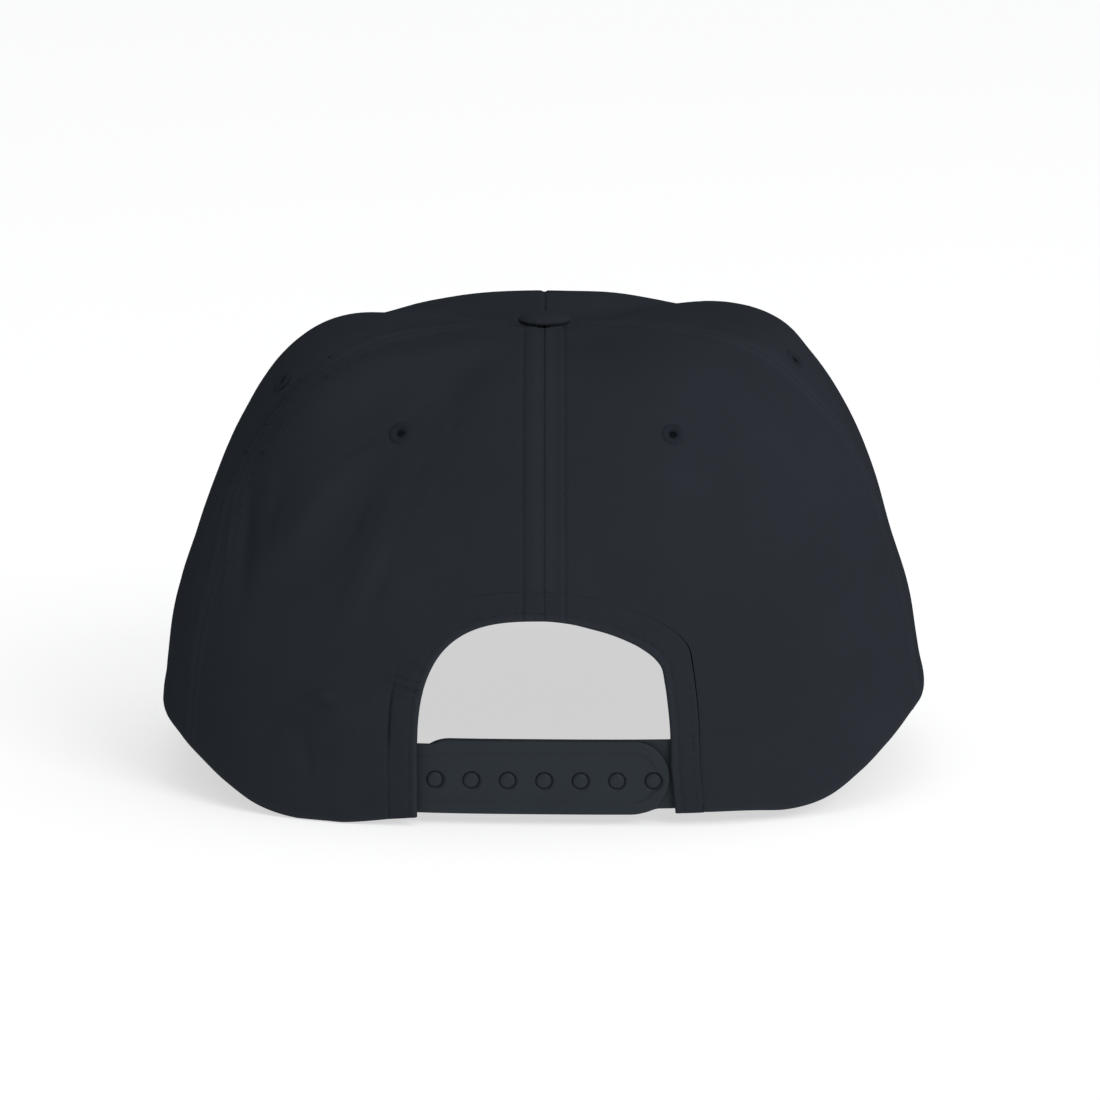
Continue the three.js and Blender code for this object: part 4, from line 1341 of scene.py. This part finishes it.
def back_reach(x):
    """Plan line of the crown at its back, as the reach behind its axis."""
    power = SECTIONS["back_power"][0]
    share = np.abs(x) / (HALF_WIDTH * np.where(x < 0, SECTIONS["left"][0], SECTIONS["right"][0]))
    return BACK_REACH * (1 - share**power) ** (1 / power)


def strap_y(x, layer):
    """Outer face of a strap layer, as in the frame."""
    way = np.clip((x + HALF_OPENING) / OPENING_WIDTH, 0, 1)
    depth = mix(TAIL_DEPTH, GAP, way) + layer * (STRAP_THICKNESS + GAP)
    return CROWN_SHIFT - back_reach(x) + depth


def strap_outline(tail_x, end_x):
    """Points across and up the strap's outline from its tail's top round its end to its tail's bottom, and
    the direction inwards at each."""
    sign = math.copysign(1, end_x - tail_x)
    radius = STRAP_WIDTH / 2
    straight = end_x - sign * radius
    taper = STRAP_TAIL_SHOWN - HALF_OPENING
    reach = abs(straight - tail_x)
    along = tail_x + sign * graded(reach, [(abs(sign * taper - tail_x), 0.4 * MM)], 0.9 * MM)
    widened = step_up(sign * along - taper, 0, STRAP_TAPER)
    stepped = radius - (STRAP_WIDTH - STRAP_TAIL_WIDTH) * (1 - widened)
    upper, lower = (stepped, radius + along * 0) if sign > 0 else (radius + along * 0, stepped)
    turn = np.linspace(math.pi / 2, -math.pi / 2, STRAP_END_POINTS + 2)[1:-1]
    x = np.concatenate([along, straight + sign * radius * np.cos(turn), along[::-1]])
    z = np.concatenate([upper, radius * np.sin(turn), -lower[::-1]])
    inward_x = np.concatenate([along * 0, -sign * np.cos(turn), along * 0])
    inward_z = np.concatenate([along * 0 - 1, -np.sin(turn), along * 0 + 1])
    centre = np.concatenate([along, np.full(STRAP_END_POINTS, straight), along[::-1]])
    return x, z, inward_x, inward_z, centre


def strap_body(name, tail_x, end_x, layer, recess):
    """Moulded strap: rounded edges, a raised border and a recessed field on its outer face."""
    x, z, inward_x, inward_z, centre = strap_outline(tail_x, end_x)
    middle = STRAP_LIFT + STRAP_WIDTH / 2
    outer, inner = [], []
    for inset in np.array(STRAP_INSETS) * MM:
        px, pz = x + inward_x * inset, z + inward_z * inset
        drop = edge_round(np.full(len(px), inset), STRAP_EDGE_RADIUS)
        field = recess * step_up(inset, BORDER_START, BORDER_END)
        y = strap_y(px, layer)
        outer.append(np.stack([px, y + drop + field, middle + pz], -1))
        inner.append(np.stack([px, y + STRAP_THICKNESS - drop, middle + pz], -1))
    spine_y = strap_y(centre, layer)
    outer.append(np.stack([centre, spine_y + recess, centre * 0 + middle], -1))
    inner.append(np.stack([centre, spine_y + STRAP_THICKNESS, centre * 0 + middle], -1))
    return wall(name, np.array(outer), np.array(inner), folded=True)


def snap_places():
    """Where the snaps stand across the opening: as many as fit at their pitch."""
    count = int((OPENING_WIDTH - 2 * SNAP_MARGIN) / SNAP_PITCH)
    return [(number - count / 2) * SNAP_PITCH for number in range(count + 1)]


def turned(name, profile, origin, sides):
    """Solid turned about a line out of the strap's face, from pairs of radius and way outwards."""
    angle = np.linspace(0, math.tau, sides, endpoint=False)
    rings = [
        origin + np.stack([r * np.cos(angle), np.full(sides, -h), r * np.sin(angle)], -1)
        for r, h in profile
    ]
    points = np.concatenate(rings)
    piece = finished_mesh(name, points, ring_faces(len(rings), sides))
    outward_first(piece)
    return piece


def outward_first(piece):
    """Turns a closed mesh's faces outwards."""
    body = bmesh.new()
    body.from_mesh(piece.data)
    bmesh.ops.recalc_face_normals(body, faces=body.faces)
    body.to_mesh(piece.data)
    body.free()


def cut_away(piece, cutters):
    """Cuts turned solids out of a piece."""
    for cutter in cutters:
        modifier = piece.modifiers.new("hole", "BOOLEAN")
        modifier.operation = "DIFFERENCE"
        modifier.solver = "EXACT"
        modifier.object = cutter
    evaluated = piece.evaluated_get(bpy.context.evaluated_depsgraph_get())
    mesh = bpy.data.meshes.new_from_object(evaluated)
    piece.modifiers.clear()
    piece.data = mesh
    mesh.shade_smooth()
    mesh.set_sharp_from_angle(angle=math.radians(HOLE_SHARP_ANGLE))
    for cutter in cutters:
        bpy.data.objects.remove(cutter)
    return piece


def straps(finish):
    """Outer strap with its holes and inner strap with its pegs."""
    tail = HALF_OPENING + STRAP_TAIL
    outer = strap_body("strap_outer_moulding", -tail, HALF_OPENING - GAP, 0, STRAP_RECESS)
    inner = strap_body("strap_inner_moulding", tail, -HALF_OPENING - STRAP_TUCK, 1, 0.0)
    middle = STRAP_LIFT + STRAP_WIDTH / 2 - SNAP_DROP
    hole = [(0, -CUTTER_DEEP), (SNAP_HOLE_RADIUS, -CUTTER_DEEP)]
    for beyond, sunk in zip(*SNAP_HOLE_EDGE.values()):
        hole.append((SNAP_HOLE_RADIUS + beyond * MM, -STRAP_RECESS - sunk * MM))
    hole += [(SNAP_HOLE_RADIUS + 0.9 * MM, CUTTER_PROUD), (0, CUTTER_PROUD)]
    head = [(radius * MM, height * MM) for radius, height in zip(*SNAP_PEG.values())]
    cutters, pegs = [], []
    for number, x in enumerate(snap_places()):
        origin = np.array([x, float(strap_y(np.array(x), 0)), middle])
        cutters.append(turned(f"cutter_{number}", hole, origin, CUTTER_SIDES))
        pegs.append(turned(f"peg_{number}", head, origin, PEG_SIDES))
    outer = cut_away(outer, cutters)
    for peg in pegs:
        peg.data.shade_smooth()
        peg.data.set_sharp_from_angle(angle=math.radians(PEG_SHARP_ANGLE))
    inner = joined("strap_inner_moulding", inner, *pegs)
    dress(outer, finish, "strap_plastic", "strap_outer")
    dress(inner, finish, "strap_plastic", "strap_inner")


# Sweatband

SWEATBAND_STEPS = 420
SWEATBAND_EDGE_RADIUS = 0.5 * MM
SWEATBAND_LEAN = 0.5 * MM
BINDING_START = SWEATBAND_HEIGHT - 4.6 * MM
BINDING_END = SWEATBAND_HEIGHT - 4.2 * MM
BINDING_PROUD = 0.16 * MM
BAND_ROW = SWEATBAND_HEIGHT - 3.4 * MM
BAND_ROW_DEPTH = 0.14 * MM
BAND_ROW_BREADTH = 0.5 * MM
BAND_WEAVE_RADIUS = 85 * MM


def sweatband(finish):
    """Band inside the rim, from one tab round the front to the other."""
    start = math.degrees(math.atan2(HALF_OPENING + HEM_WIDTH, BACK_REACH))
    tail_end = HALF_OPENING + STRAP_TAIL + STRAP_TAPER
    azimuth = np.linspace(start, 360 - start, SWEATBAND_STEPS)[:, None]
    up = graded(SWEATBAND_HEIGHT, [(0, 0.12 * MM), (SWEATBAND_HEIGHT, 0.12 * MM)], 1.2 * MM)[None, :]
    azimuth, up = np.broadcast_arrays(azimuth, up)
    place = smooth_crown(azimuth, 0)
    in_front = np.cos(np.radians(azimuth)) < 0
    past_tail = np.where(in_front, 1, (np.abs(place[..., 0]) - tail_end) / SWEATBAND_EASE)
    depth = mix(COVER_DEPTH, CLOTH + GAP, np.clip(past_tail, 0, 1))
    rise = (GAP + up * (SWEATBAND_HEIGHT - GAP) / SWEATBAND_HEIGHT) / CROWN_HEIGHT
    smooth = smooth_crown(azimuth, rise)
    out = outward(azimuth, rise)
    fold = FOLD_HEIGHT * laid_relief(FOLDS, azimuth, rise)
    wave = unevenness(smooth, *SWEATBAND_WAVES)
    lean = SWEATBAND_LEAN * (up / SWEATBAND_HEIGHT) ** 2
    from_edge = np.minimum(up, SWEATBAND_HEIGHT - up)
    rounding = edge_round(from_edge, SWEATBAND_EDGE_RADIUS)
    bound = BINDING_PROUD * step_up(up, BINDING_START, BINDING_END)
    channel = BAND_ROW_DEPTH * hump(up - BAND_ROW, BAND_ROW_BREADTH)
    near = smooth + (fold - depth - lean - rounding)[..., None] * out
    inside = depth + SWEATBAND_THICKNESS + lean - rounding + bound - channel - np.abs(wave) * 0.6
    far = smooth + (fold - inside)[..., None] * out
    run = np.radians(azimuth) * BAND_WEAVE_RADIUS
    wear = 0.3 * hump(SWEATBAND_HEIGHT - up, 1 * MM)
    piece = wall("sweatband_cloth", near, far, None, np.stack([run, up], -1), wear)
    dress(piece, finish, "sweatband_cloth", "sweatband")
    row = np.argmin(np.abs(up[0] - BAND_ROW))
    return far[:, row], -out[:, row]


# Peak

PEAK_EDGE_POINTS = 2401
PEAK_LINE_POINTS = 401
PEAK_STEPS = 261
PEAK_GRID_REACH = 62 * MM
PEAK_FLOOR_SOFTNESS = 1.2 * MM
PEAK_ROW_BREADTH = 0.65 * MM
PEAK_ROW_DEPTH = 0.22 * MM
LOWER_PILLOW_SHARE = 0.7
SEWN_CLEAR = 0.8 * MM
SEWN_TURN_SHARE = 0.985
SEWN_EVERY = 6
FEWEST_SEWN = 3


def peak_edge(angle):
    """Edge of the peak in plan, from -90 degrees at its left corner to 90 at its right."""
    corner = smooth_crown(PEAK_CORNER_ANGLE, 0)
    half_width = corner[0] + PEAK_OVERHANG
    power = 2 / PEAK_EDGE_POWER
    sine, cosine = np.sin(np.radians(angle)), np.abs(np.cos(np.radians(angle)))
    x = half_width * np.sign(sine) * np.abs(sine) ** power
    y = mix(corner[1], CROWN_SHIFT + FRONT_REACH + PEAK_REACH, cosine**power)
    return x, y, half_width


def peak_fall(y):
    """Height of the peak's top along its middle."""
    ahead = y - CROWN_SHIFT - FRONT_REACH
    return FRONT_LIFT - GAP - PEAK_DROP * ahead / PEAK_REACH


def soft_max(first, second, softness):
    """The larger of two heights, with a smooth passage."""
    return (first + second + np.sqrt((first - second) ** 2 + softness**2)) / 2


def peak_grid(across, along):
    """Top of the peak over its ways across and along, each 0 to 1."""
    rest_x, rest_y, half_width = peak_edge(PEAK_REST_ANGLE)
    arch = (peak_fall(rest_y) - PEAK_THICKNESS + PEAK_PRESS) / (rest_x / half_width) ** 2
    azimuth = mix(360 - PEAK_CORNER_ANGLE, PEAK_CORNER_ANGLE, across)
    root = smooth_crown(azimuth, np.zeros(np.shape(azimuth)))
    root = root - CLOTH * outward(azimuth, np.zeros(np.shape(azimuth)))
    root[..., 2] -= ROOT_GAP
    x, y, _ = peak_edge(mix(-90, 90, across))
    z = soft_max(peak_fall(y) - arch * (x / half_width) ** 2, PEAK_THICKNESS, PEAK_FLOOR_SOFTNESS)
    edge = np.stack([x, y, z], -1)
    return mix(root, edge, along[..., None])


def way_to_line(places, line):
    """Shortest way from each place to a line of places."""
    start, step = line[:-1], np.diff(line, axis=0)
    from_start = places[:, None] - start
    share = np.clip((from_start * step).sum(-1) / (step**2).sum(-1), 0, 1)
    return np.linalg.norm(from_start - share[..., None] * step, axis=-1).min(1)


def peak(finish):
    """Stiff curved peak covered with cloth, sewn through in rows that follow its edge."""
    angles = np.linspace(-90, 90, PEAK_EDGE_POINTS)
    x, y, _ = peak_edge(angles)
    run = np.concatenate([[0], np.cumsum(np.hypot(np.diff(x), np.diff(y)))])
    even = np.interp(np.linspace(0, run[-1], PEAK_STEPS), run, angles)
    across = ((even + 90) / 180)[:, None]
    along = graded(PEAK_GRID_REACH, [(PEAK_GRID_REACH, 0.12 * MM)], 0.85 * MM) / PEAK_GRID_REACH
    across, along = np.broadcast_arrays(across, along[None, :])
    top = peak_grid(across, along)
    edge_angles = np.interp(np.linspace(0, run[-1], PEAK_LINE_POINTS), run, angles)
    edge = np.stack(peak_edge(edge_angles)[:2], -1)
    inset = way_to_line(top[..., :2].reshape(-1, 2), edge).reshape(top.shape[:2])
    rows = np.array(PEAK_ROW_INSETS) * MM
    channel = sum(hump(inset - row, PEAK_ROW_BREADTH) for row in rows)
    pillow = -PEAK_ROW_DEPTH * channel + unevenness(top, *PEAK_WAVES)
    rounding = edge_round(inset, PEAK_THICKNESS / 2)
    across_way = np.gradient(top, axis=0)
    along_way = np.gradient(top, axis=1)
    out = np.cross(along_way, across_way)
    size = np.maximum(np.linalg.norm(out, axis=-1, keepdims=True), 1e-12)
    out = np.where(size > 1e-10, out / size, [0, 0, 1])
    out = np.where(out[..., 2:] < 0, -out, out)
    down = np.array([0, 0, -PEAK_THICKNESS])
    upper = top + (pillow - rounding)[..., None] * out
    lower = top + down + (rounding - LOWER_PILLOW_SHARE * pillow)[..., None] * out
    lower[..., 2] = np.maximum(lower[..., 2], 0)
    way = np.stack([top[..., 0], inset], -1)
    wear = 0.7 * hump(inset, 1.6 * MM)
    piece = wall("peak_cloth", upper, lower, None, way, wear)
    dress(piece, finish, "cap_cloth", "peak")
    return peak_lines(piece, x, y, rows)


def peak_lines(piece, x, y, rows):
    """Sewing lines on the peak's upper and lower faces at each inset from its edge."""
    body = bmesh.new()
    body.from_mesh(piece.data)
    tree = BVHTree.FromBMesh(body)
    body.free()
    tangent = np.stack([np.gradient(x), np.gradient(y)], -1)
    tangent /= np.linalg.norm(tangent, axis=-1, keepdims=True)
    inward = np.stack([tangent[:, 1], -tangent[:, 0]], -1)
    lines = []
    for row in rows:
        plan = np.stack([x, y], -1) + inward * row
        apart = np.min(np.hypot(plan[:, :1] - x[None, ::8], plan[:, 1:] - y[None, ::8]), axis=1)
        plan = plan[apart > row * SEWN_TURN_SHARE][::SEWN_EVERY]
        azimuth = np.degrees(np.arctan2(plan[:, 0], -(plan[:, 1] - CROWN_SHIFT)))
        radius = plan_radius(azimuth, np.zeros(len(plan)))
        beyond = np.hypot(plan[:, 0], plan[:, 1] - CROWN_SHIFT) > radius + SEWN_CLEAR
        for start, way in ((0.2, -1.0), (-0.1, 1.0)):
            hits = [tree.ray_cast(Vector((px, py, start)), Vector((0, 0, way))) for px, py in plan]
            kept = [hit for hit, clear in zip(hits, beyond) if clear and hit[0] is not None]
            if len(kept) > FEWEST_SEWN:
                lines.append((np.array([hit[0] for hit in kept]), np.array([hit[1] for hit in kept])))
    return lines


# Sewing lines of the crown and hem

SEAM_LINE_POINTS = 240
HEM_LINE_POINTS = 420
ROW_START = 0.01
CENTRE_ROW_START = 0.52
ROW_END = 0.985
ROW_BUTTON_CLEAR = 0.5 * MM

# Inset of each row along the hem and the stretch of its way
HEM_SPANS = (
    (HEM_ROW_INSETS[0], 0.012, 0.988),
    (HEM_ROW_INSETS[1], 0.8, 0.988),
)


def seam_lines(name, low, high):
    """The two rows beside a seam."""
    rise = np.linspace(low, high, SEAM_LINE_POINTS)
    at_seam = between(SEAMS, "rise", rise, name)
    radius = plan_radius(at_seam, rise)
    lines = []
    for side in (-1, 1):
        azimuth = at_seam + np.degrees(side * SEAM_ALLOWANCE / radius)
        points, out = crown_point(azimuth, rise)
        clear = np.hypot(points[:, 0], points[:, 1] - CROWN_SHIFT) > BUTTON_RADIUS + ROW_BUTTON_CLEAR
        lines.append((points[clear], out[clear]))
    return lines


def hem_lines():
    """Stitches along the hem's edge, and a second row along the right tab."""
    lines = []
    for inset, start, end in HEM_SPANS:
        way = np.linspace(start, end, HEM_LINE_POINTS)
        azimuth, rise = from_flat_map(opening_outline(inset, way))
        smooth = smooth_crown(azimuth, rise)
        out = outward(azimuth, rise)
        relief = cloth_relief(azimuth, rise, smooth) + seam_relief(azimuth, rise)
        relief = relief + hem_offset(way, np.full(len(way), inset))
        lines.append((smooth + relief[:, None] * out, out))
    return lines


# Light, floor and camera

FLOOR_GLOW = 0.62
FLOOR_TONE = 0.47
SKY_STRENGTH = 1.05
SKY_LEAN = 0.3
SKY_SPAN = (0.1, 1.0)
SKY_COLOUR = (0.97, 0.98, 1.0, 1.0)
HORIZON_STRENGTH = 0.6
HORIZON_SPAN = (0.13, 0.18)
KEY_STRENGTH = 25
KEY_PLACE = (1.35, -1.75, 1.5)
KEY_SIZE = 1.2
LIGHT_TARGET = (0, 0, 0.05)
FLOOR_REACH = 14
FLOOR_SINK = 0.2 * MM
PHOTO_SIZE = 1100
FOCAL_PIXELS = 4819
SENSOR = 36
CAMERA_ELEVATION = 12
CAMERA_DISTANCE = 1.25
CAMERA_TARGET = Vector((1.5 * MM, -30.35 * MM, 51 * MM))


def camera():
    """The photo's view: straight from behind and a little above."""
    made = bpy.data.cameras.new("camera")
    made.lens = FOCAL_PIXELS / PHOTO_SIZE * SENSOR
    made.sensor_width = SENSOR
    holder = placed("camera", made)
    tilt = math.radians(CAMERA_ELEVATION)
    back = Vector((0, -math.cos(tilt), math.sin(tilt)))
    holder.location = CAMERA_TARGET + back * CAMERA_DISTANCE
    holder.rotation_euler = (-back).to_track_quat("-Z", "Y").to_euler()
    bpy.context.scene.camera = holder


def soft_light(name, place, size, strength):
    """Square soft light that faces the cap."""
    made = bpy.data.lights.new(name, "AREA")
    made.shape = "SQUARE"
    made.size = size
    made.energy = strength
    holder = placed(name, made)
    holder.location = place
    holder.rotation_euler = (Vector(LIGHT_TARGET) - Vector(place)).to_track_quat("-Z", "Y").to_euler()


def room():
    """Dark room with a pale horizon, white overhead and to the right."""
    world = bpy.data.worlds.new("room")
    world.use_nodes = True
    tree = world.node_tree
    way = add_node(tree, "ShaderNodeTexCoord").outputs["Generated"]
    parts = add_node(tree, "ShaderNodeSeparateXYZ", {0: way}).outputs
    lean = {0: parts["X"], 1: SKY_LEAN, 2: parts["Z"]}
    lean = add_node(tree, "ShaderNodeMath", lean, operation="MULTIPLY_ADD").outputs[0]
    bands = ((lean, SKY_SPAN, 0.0, SKY_STRENGTH), (parts["Z"], HORIZON_SPAN, HORIZON_STRENGTH, 0.0))
    strengths = []
    for height, (start, end), low_strength, high_strength in bands:
        inputs = {"Value": height, "From Min": start, "From Max": end}
        inputs.update({"To Min": low_strength, "To Max": high_strength})
        fall = add_node(tree, "ShaderNodeMapRange", inputs, interpolation_type="SMOOTHSTEP")
        strengths.append(fall.outputs["Result"])
    both = add_node(tree, "ShaderNodeMath", dict(enumerate(strengths))).outputs[0]
    sky = tree.nodes["Background"].inputs
    feed(tree, sky["Color"], SKY_COLOUR)
    feed(tree, sky["Strength"], both)
    return world


def studio():
    """Pale floor, soft light and room."""
    mesh = bpy.data.meshes.new("pale_floor")
    corners = [(x * FLOOR_REACH, y * FLOOR_REACH, 0) for x, y in ((-1, -1), (1, -1), (1, 1), (-1, 1))]
    mesh.from_pydata(corners, [], [(0, 1, 2, 3)])
    floor = placed("pale_floor", mesh)
    floor.location.z = -FLOOR_SINK
    mesh.materials.append(floor_finish())
    soft_light("right_light", KEY_PLACE, KEY_SIZE, KEY_STRENGTH)
    bpy.context.scene.world = room()
    bpy.context.scene.view_settings.view_transform = "Standard"


camera()
studio()
STITCH_TREE = stitch_tree()
CAP_COLOURS = (colour(38, 41, 46), colour(46, 50, 56), colour(55, 60, 66))
BAND_COLOURS = (colour(20, 22, 26), colour(32, 35, 40), colour(50, 54, 60))
CAP_CLOTH = cloth_finish("cap_cloth", *CAP_COLOURS, 0.34 * MM)
SWEATBAND_CLOTH = cloth_finish("sweatband_cloth", *BAND_COLOURS, 0.7 * MM, True, (0.7, 0.88), 0.6)
THREAD_CLOTH = thread_finish()
STRAP_PLASTIC = plastic_finish()

crown_panels(CAP_CLOTH)
opening_hem(CAP_CLOTH)
button(CAP_CLOTH)
eyelets(THREAD_CLOTH)
straps(STRAP_PLASTIC)
band_line = sweatband(SWEATBAND_CLOTH)
peak_rows = peak(CAP_CLOTH)

side_rows = []
for seam in SEAM_NAMES[1:]:
    side_rows += seam_lines(seam, ROW_START, ROW_END)
centre_rows = seam_lines("centre_back", CENTRE_ROW_START, ROW_END)
flush = {"Thread": 0.26 * MM, "Arch": 0.02 * MM}
sewn_rows = (
    ("seam_stitching", side_rows, flush),
    ("centre_back_stitching", centre_rows, {}),
    ("hem_stitching", hem_lines(), flush),
    ("peak_stitching", peak_rows, {}),
    ("sweatband_stitching", [band_line], {}),
)
for name, lines, sizes in sewn_rows:
    dress(sew(name, lines, THREAD_CLOTH, **sizes), THREAD_CLOTH, "stitching")
